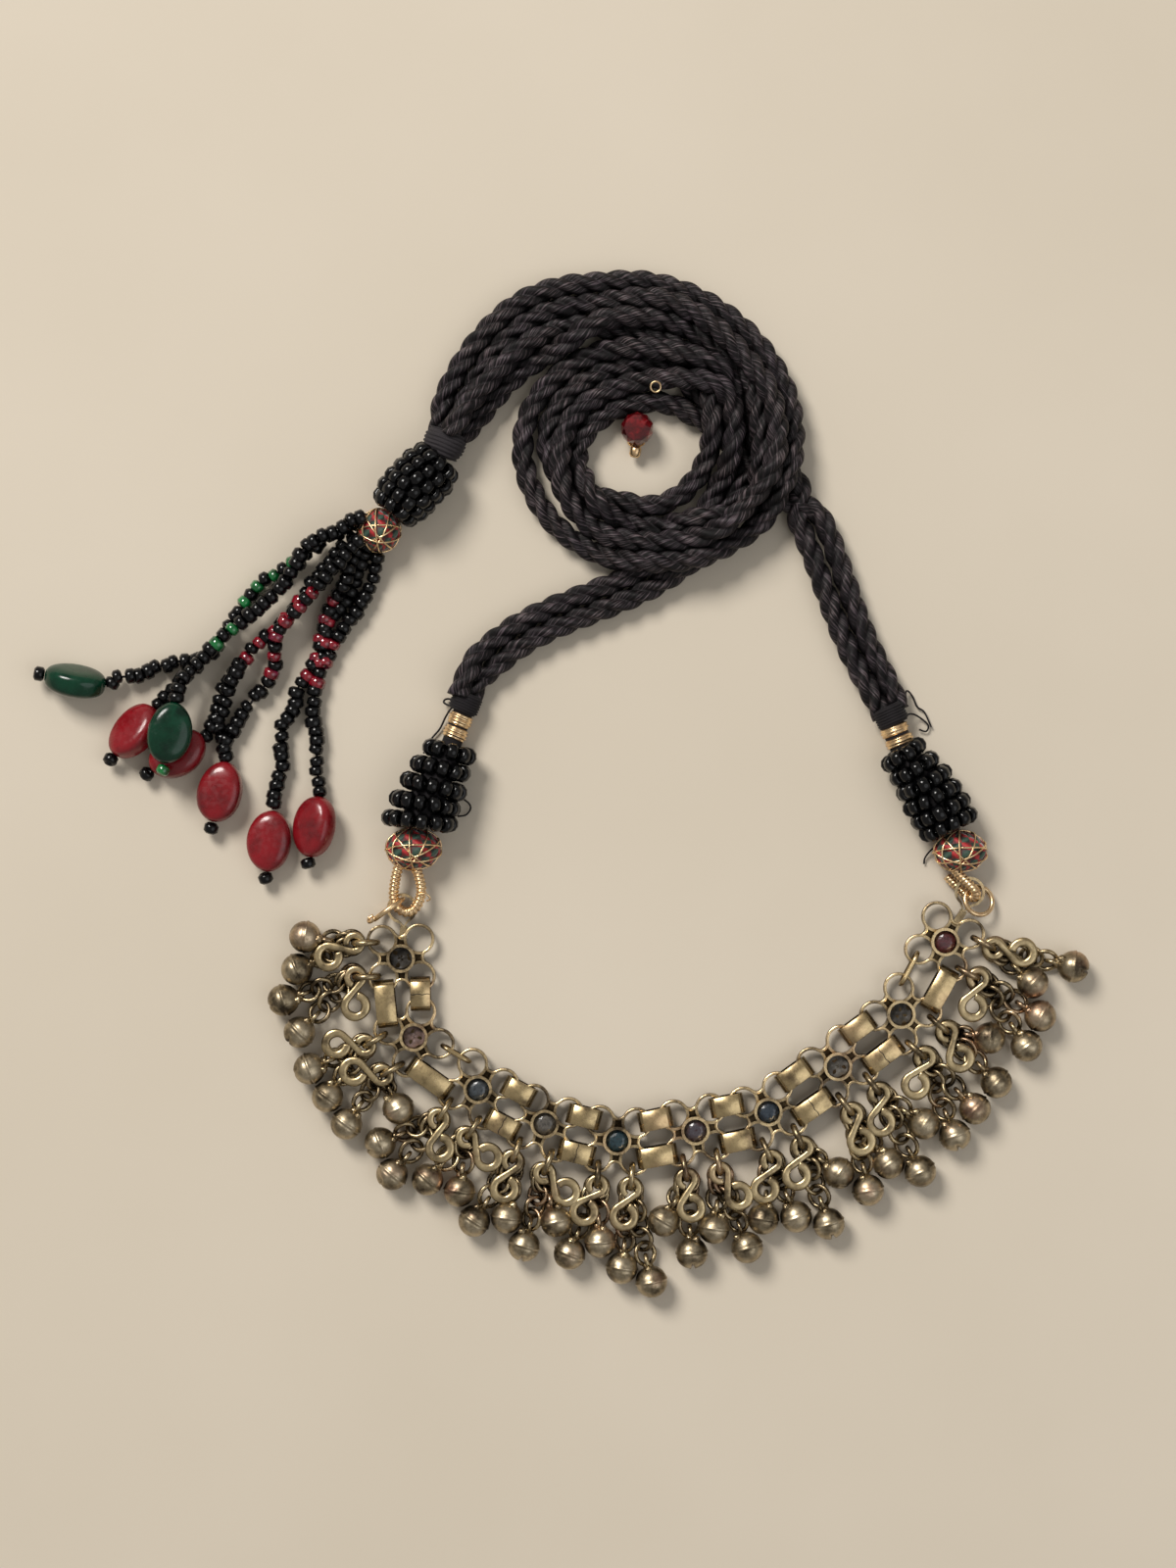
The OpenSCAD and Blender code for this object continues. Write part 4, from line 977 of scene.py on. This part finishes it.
def charm_form(eye, direction, wobble):
    """Flattened wire bent to an 8: round the eye, across, and round the lower loop to a free end. The
    crossing leaves each loop where its tangent meets the other loop, at acos((eye's radius + loop's
    radius)/distance)."""
    eye_radius, loop_radius, apart = 1.75, 2.35, 6.3
    ahead, left = turned(direction)
    lean = np.degrees(np.arccos((eye_radius + loop_radius) / apart))
    one = np.radians(np.linspace(lean - 66, lean - 360, 26))[:, None]
    two = np.radians(np.linspace(lean - 180, lean + 130 - wobble, 30))[:, None]
    path = np.vstack([eye + eye_radius * (np.cos(one) * ahead + np.sin(one) * left),
                      eye + apart * ahead + loop_radius * (np.cos(two) * ahead + np.sin(two) * left)])
    path = smooth_path(path, 0.4)
    sides = 12
    a = angles(sides) - np.pi / 2
    flat = 1 / ((abs(np.cos(a)) / 0.92) ** 4 + (abs(np.sin(a)) / 0.42) ** 4) ** 0.25
    place = np.linspace(0, 1, len(path))[:, None]
    hammered = 0.05 * np.sin(np.arange(len(path)) * 0.55 + wobble)[:, None]
    swell = 0.82 + 0.24 * np.clip((place - 0.4) / 0.3, 0, 1) + hammered
    swell[-2:] *= np.array([0.98, 0.92])[:, None]
    swell[:2] *= np.array([0.8, 0.94])[:, None]
    return swept(path, flat[None] * swell, sides)


def bell_form(middle, ahead, spin, slit):
    """Bell, drawn as a closed ball with a raised seam round its middle and a slit over its far end. With u
    along the bell and z across the slit, the radius is 3.48 + 0.2*exp(-((u + 0.2)/0.2)^2) - 0.1*exp(-((u -
    0.25)/0.2)^2), less slit*exp(-(z/0.4)^4) where u is over 0.6 and the slit hasn't run out at its sides,
    and a dent of 0.05*sin(2w + spin)*cos(v)*sin(2v)."""
    rows, sides = 46, 44
    v, w = ball_angles(rows, sides)
    c = np.cos(v)
    u, y, z = BELL_RADIUS * np.sin(v), BELL_RADIUS * c * np.cos(w), BELL_RADIUS * c * np.sin(w)
    seam = 0.2 * np.exp(-((u + 0.2) / 0.2) ** 2) - 0.1 * np.exp(-((u - 0.25) / 0.2) ** 2)
    cut = np.exp(-(z / 0.4) ** 4) * np.clip((u - 0.6) / 0.9, 0, 1) * np.clip((3.1 - abs(y)) / 0.6, 0, 1)
    r = 3.48 + seam - slit * cut + 0.05 * np.sin(2 * w + spin) * c * np.sin(2 * v)
    side = np.cross(UP, ahead)
    basis = [ahead, np.cos(spin) * side + np.sin(spin) * UP, -np.sin(spin) * side + np.cos(spin) * UP]
    local = ball_points(r * np.sin(v), r * c * np.cos(w), r * c * np.sin(w), [-BELL_RADIUS, 0, 0],
                        [BELL_RADIUS - slit, 0, 0])
    points = local @ np.stack(basis) + middle
    points[:, 2] = np.maximum(points[:, 2], 0.01)
    return bare(points, ball_faces(rows, sides))


def lump(middle, size, seed):
    """Small uneven ball of solder, 0.85 as high as wide, whose radius is size*(1 + 0.14*sin(3w +
    seed)*cos(2v + seed))."""
    rows, sides, low = 9, 14, 0.85
    v, w = ball_angles(rows, sides)
    r = size * (1 + 0.14 * np.sin(3 * w + seed) * np.cos(2 * v + seed))
    level = r * np.cos(v)
    points = ball_points(level * np.cos(w), level * np.sin(w), low * r * np.sin(v), [0, 0, -low * size],
                         [0, 0, low * size])
    return bare(points + middle, ball_faces(rows, sides))


def hung_bell(hook, out, at, low, seed):
    """A bell at a place, its chain from the hook, the small ring on its shank and two lumps of solder. A
    low chain starts further on and lies under the other."""
    start = hook + (2.8, 2.35)[low] * out
    e = unit(at - start)
    near, shank = start + low * 0.9 * e, at - (4.6, 4.38)[low] * e
    z = np.array([0, 0, (3.25, 2.1)[low]])
    tail, side = np.sin(seed), np.cross(UP, e)
    wires = chain(near, shank, e, (2.35, 1.95)[low])
    wires.append(wire_link(shank + z, e, UP, 1.4, 0.5, 20))
    wires.append(lump(at - 3.4 * e + z * 0.5 + [0, 0, 1.7], 1.12 + 0.2 * tail, seed))
    wires.append(lump(at - 3.0 * e + 1.3 * tail * side + [0, 0, 5.0], 0.85 + 0.15 * np.cos(seed), seed + 1))
    return wires, bell_form(at + [0, 0, BELL_RADIUS], e, 2.4 * seed % FULL, (0.0, 0.75, 0.6)[seed % 3])


def drop_group(first):
    """The four drops of two neighbouring flowers, as wires, charms and bells. Each drop has a hook ring on
    edge, a flat ring under the charm, and two chains of rings with a small ring at each bell."""
    wires, charms, bells = [], [], []
    for k in range(2 * first, 2 * first + 4):
        (direction, x1, y1, x2, y2, upper), (fx, fy, turn) = DROPS[k], FLOWERS[k // 2]
        ahead, left = turned(turn)
        hook = np.array([fx, fy, 0]) + HOOK_ASIDE * (-1 if k % 2 == 0 else 1) * ahead - HOOK_OUT * left
        out = -left
        wires.append(wire_link(hook + [0, 0, 3.32], out, UP, 2.6, 0.66 + 0.03 * np.sin(k), sides=12))
        wires.append(wire_link(hook + 3.2 * out + [0, 0, 0.95], out, ahead, 2.5, 0.52))
        charms.append(charm_form(hook + 2.45 * out + [0, 0, 4.35], direction, 3 + 6 * np.sin(2.3 * k)))
        for b, (x, y) in enumerate(((x1, y1), (x2, y2))):
            links, bell = hung_bell(hook, out, np.array([x, y, 0]), int(b != upper), 7 * k + 3 * b)
            wires += links
            bells.append(bell)
    names = f"{first + 1:02d}_{first + 2:02d}"
    groups = ("wires", wires, SILVER), ("charms", charms, CHARM_METAL), ("bells", bells, BELL_METAL)
    for part, group, finish in groups:
        joined_piece(f"drop_{part}_{names}", group, finish, "old_silver", (f"drops_{names}",))


for first in range(0, 10, 2):
    drop_group(first)

# Crowned tops on the bands between two flowers

# A band is named by its first flower, counted from 0, and by its side of the chain
SEAMS = [(0, 1), (2, -1), (3, -1), (6, -1), (7, -1)]
ROUND_LINKS = [(1, 1), (8, 1)]
LOBE_AT = 4.05


def crown_form(middle, along_it, half):
    """Thin closed plate on a band: at the share x of its half length its top is 4.17 + 0.5*(1 - x^2) high,
    and its two long edges are rounded."""
    over, under = np.cross(UP, along_it), 4.0
    x = np.linspace(-1, 1, 17)
    top = 4.17 + 0.5 * (1 - x * x)
    section = np.vstack([np.stack([x * half, top], 1), np.stack([x[::-1] * half, np.full(17, under)], 1)])
    y = np.array([-2.19, -2.17, -2.08, 0, 2.08, 2.17, 2.19])
    sunk = np.array([0.2, 0.08, 0.0, 0.0, 0.0, 0.08, 0.2])[:, None]
    high = np.maximum(section[None, :, 1] - sunk * (section[None, :, 1] > 4.05), under)
    points = middle + section[None, :, :1] * along_it + y[:, None, None] * over + high[..., None] * UP
    rows, columns = len(y), len(section)
    last = rows * columns
    lids = [list(range(columns))[::-1], list(range(last - columns, last))]
    return bare(points.reshape(-1, 3), grid_faces(rows, columns).tolist() + lids)


def seam_form(middle, run, flower):
    """Dark line across a band's crown, with a ripple."""
    over = np.cross(UP, run)
    line = smooth_path([middle + k * over + [0, 0, 4.65] for k in (-2.1, -0.7, 0.7, 2.1)], 0.3)
    return swept(line + 0.1 * np.sin(np.arange(len(line)) * 0.9 + flower)[:, None] * run, 0.1, 6)


def lobe(flower, ahead, side):
    """Middle of one of a flower's four lobes."""
    x, y, turn = FLOWERS[flower]
    on, left = turned(turn)
    return np.array([x, y, 0]) + LOBE_AT * (ahead * on + side * left)


seams, crowns = [], []
for band in ((flower, side) for flower in range(9) for side in (1, -1)):
    if band in ROUND_LINKS:
        continue
    flower, side = band
    a, b = lobe(flower, 1, side), lobe(flower + 1, -1, side)
    length = max(7.6, np.linalg.norm(b - a) - 1.1)
    crowns.append(crown_form((a + b) / 2, unit(b - a), length / 2 - 0.9))
    if band in SEAMS:
        seams.append(seam_form((a + b) / 2, unit(b - a), flower))
joined_piece("band_seams", seams, BLACK_THREAD, "old_silver")
joined_piece("band_crowns", crowns, BAND_METAL, "old_silver")


# Wavy ribbon round each flower: four lobes joined by hollow curves

def ribbon_form(fx, fy, turn):
    """Closed strip on edge, 0.66 thick, from z 1.45 to 3.06 and down to 0.3 at the hollow curves. Its lobes
    are arcs of radius r round (c, c), and hollow arcs of radius f touch them from outside, with their
    middles at c + sqrt((r + f)^2 - c^2), about 6.12, from the flower's middle."""
    r, f, c = 3.05, 1.5, LOBE_AT
    lobe_steps, dip_steps = 29, 12
    reach = c + np.sqrt((r + f) ** 2 - c * c)
    meet = np.arctan2(-c, reach - c)
    round_lobe = np.linspace(meet, np.pi / 2 - meet, lobe_steps)[:, None]
    arc = np.hstack([c + r * np.cos(round_lobe), c + r * np.sin(round_lobe)])
    start = arc[-1] - [0, reach]
    begin = np.arctan2(start[1], start[0])
    dip = np.linspace(begin, -np.pi - begin, dip_steps)[1:-1, None]
    dip = np.hstack([f * np.cos(dip), reach + f * np.sin(dip)])
    quarter = np.vstack([arc, dip])
    loops, deep = [], []
    for q in angles(4):
        loops.append(quarter @ np.array([[np.cos(q), np.sin(q)], [-np.sin(q), np.cos(q)]]))
        deep += [np.zeros(lobe_steps), np.sin(np.linspace(0, np.pi, dip_steps)[1:-1])]
    flat, deep = np.vstack(loops), np.concatenate(deep)
    t = unit(np.roll(flat, -1, 0) - np.roll(flat, 1, 0))
    out = np.stack([t[:, 1], -t[:, 0]], 1)
    inset = np.array([0.33, 0.33, 0.26, -0.26, -0.33, -0.33])
    low, edge, top = 1.45 - 1.15 * deep, np.full(len(deep), 2.96), np.full(len(deep), 3.06)
    high = np.stack([low, edge, top, top, edge, low], 1)
    plan = flat[:, None] + inset[None, :, None] * out[:, None]
    on, left = turned(turn)
    points = np.array([fx, fy, 0]) + plan[..., :1] * on + plan[..., 1:] * left + high[..., None] * UP
    return bare(points.reshape(-1, 3), grid_faces(len(flat), len(inset), True)[:, ::-1].tolist())


joined_piece("ribbon_edges", [ribbon_form(*flower) for flower in FLOWERS], FLOWER_METAL, "old_silver")

# Camera, light and board, in metres

DAYLIGHT = (1.0, 0.965, 0.92)
scene = bpy.context.scene


def in_scene(name, data):
    made = bpy.data.objects.new(name, data)
    scene.collection.objects.link(made)
    return made


def soft_light(name, at, size, power, colour):
    """Round lamp aimed at the middle of the object."""
    data = bpy.data.lights.new(name, "AREA")
    data.shape, data.size, data.energy, data.color = "DISK", size, power, colour
    light = in_scene(name, data)
    light.location = at
    light.rotation_mode = "QUATERNION"
    light.rotation_quaternion = (Vector((0.005, 0.01, 0.0)) - Vector(at)).to_track_quat("-Z", "Y")


lens = bpy.data.cameras.new("camera")
lens.lens = 78.5
lens.clip_start, lens.clip_end = 0.05, 10
scene.camera = in_scene("camera", lens)
scene.camera.location = (0.00615, 0.01497, 0.75)
scene.view_settings.view_transform = "Standard"

board = bpy.data.meshes.new("board")
board.from_pydata([(x, y, -0.0004) for x, y in ((-3, -3), (3, -3), (3, 3), (-3, 3))], [], [(0, 1, 2, 3)])
board.materials.append(board_material())
in_scene("board", board)
soft_light("window", (-1.0, 1.4, 1.8), 1.0, 57, DAYLIGHT)
soft_light("room", (0.7, -0.3, 1.1), 1.2, 3.5, (0.95, 0.97, 1.0))
scene.world = bpy.data.worlds.new("room_light")
scene.world.use_nodes = True
sky = scene.world.node_tree.nodes["Background"].inputs
sky["Color"].default_value = (*DAYLIGHT, 1)
sky["Strength"].default_value = 0.3

# Finishes of the frame's own solids, by the first word of their names
FINISHES = {
    "flower": FLOWER_METAL, "links": BAND_METAL, "drops": SILVER, "gold": GOLD, "wire": GOLD,
    "slider": SLIDER, "thread": BLACK_THREAD, "wrapped": PLAIT, "stones": SLIDER, "tassel": BLACK_BEAD,
    "oval": RED_BEAD,
}
GREEN_SOLIDS = [f"oval_bead_{number}" for number in GREEN_OVALS]
for name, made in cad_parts.items():
    finish = GREEN_BEAD if name in GREEN_SOLIDS else FINISHES.get(name.split("_")[0], SATIN)
    made.data.materials.clear()
    made.data.materials.append(finish)
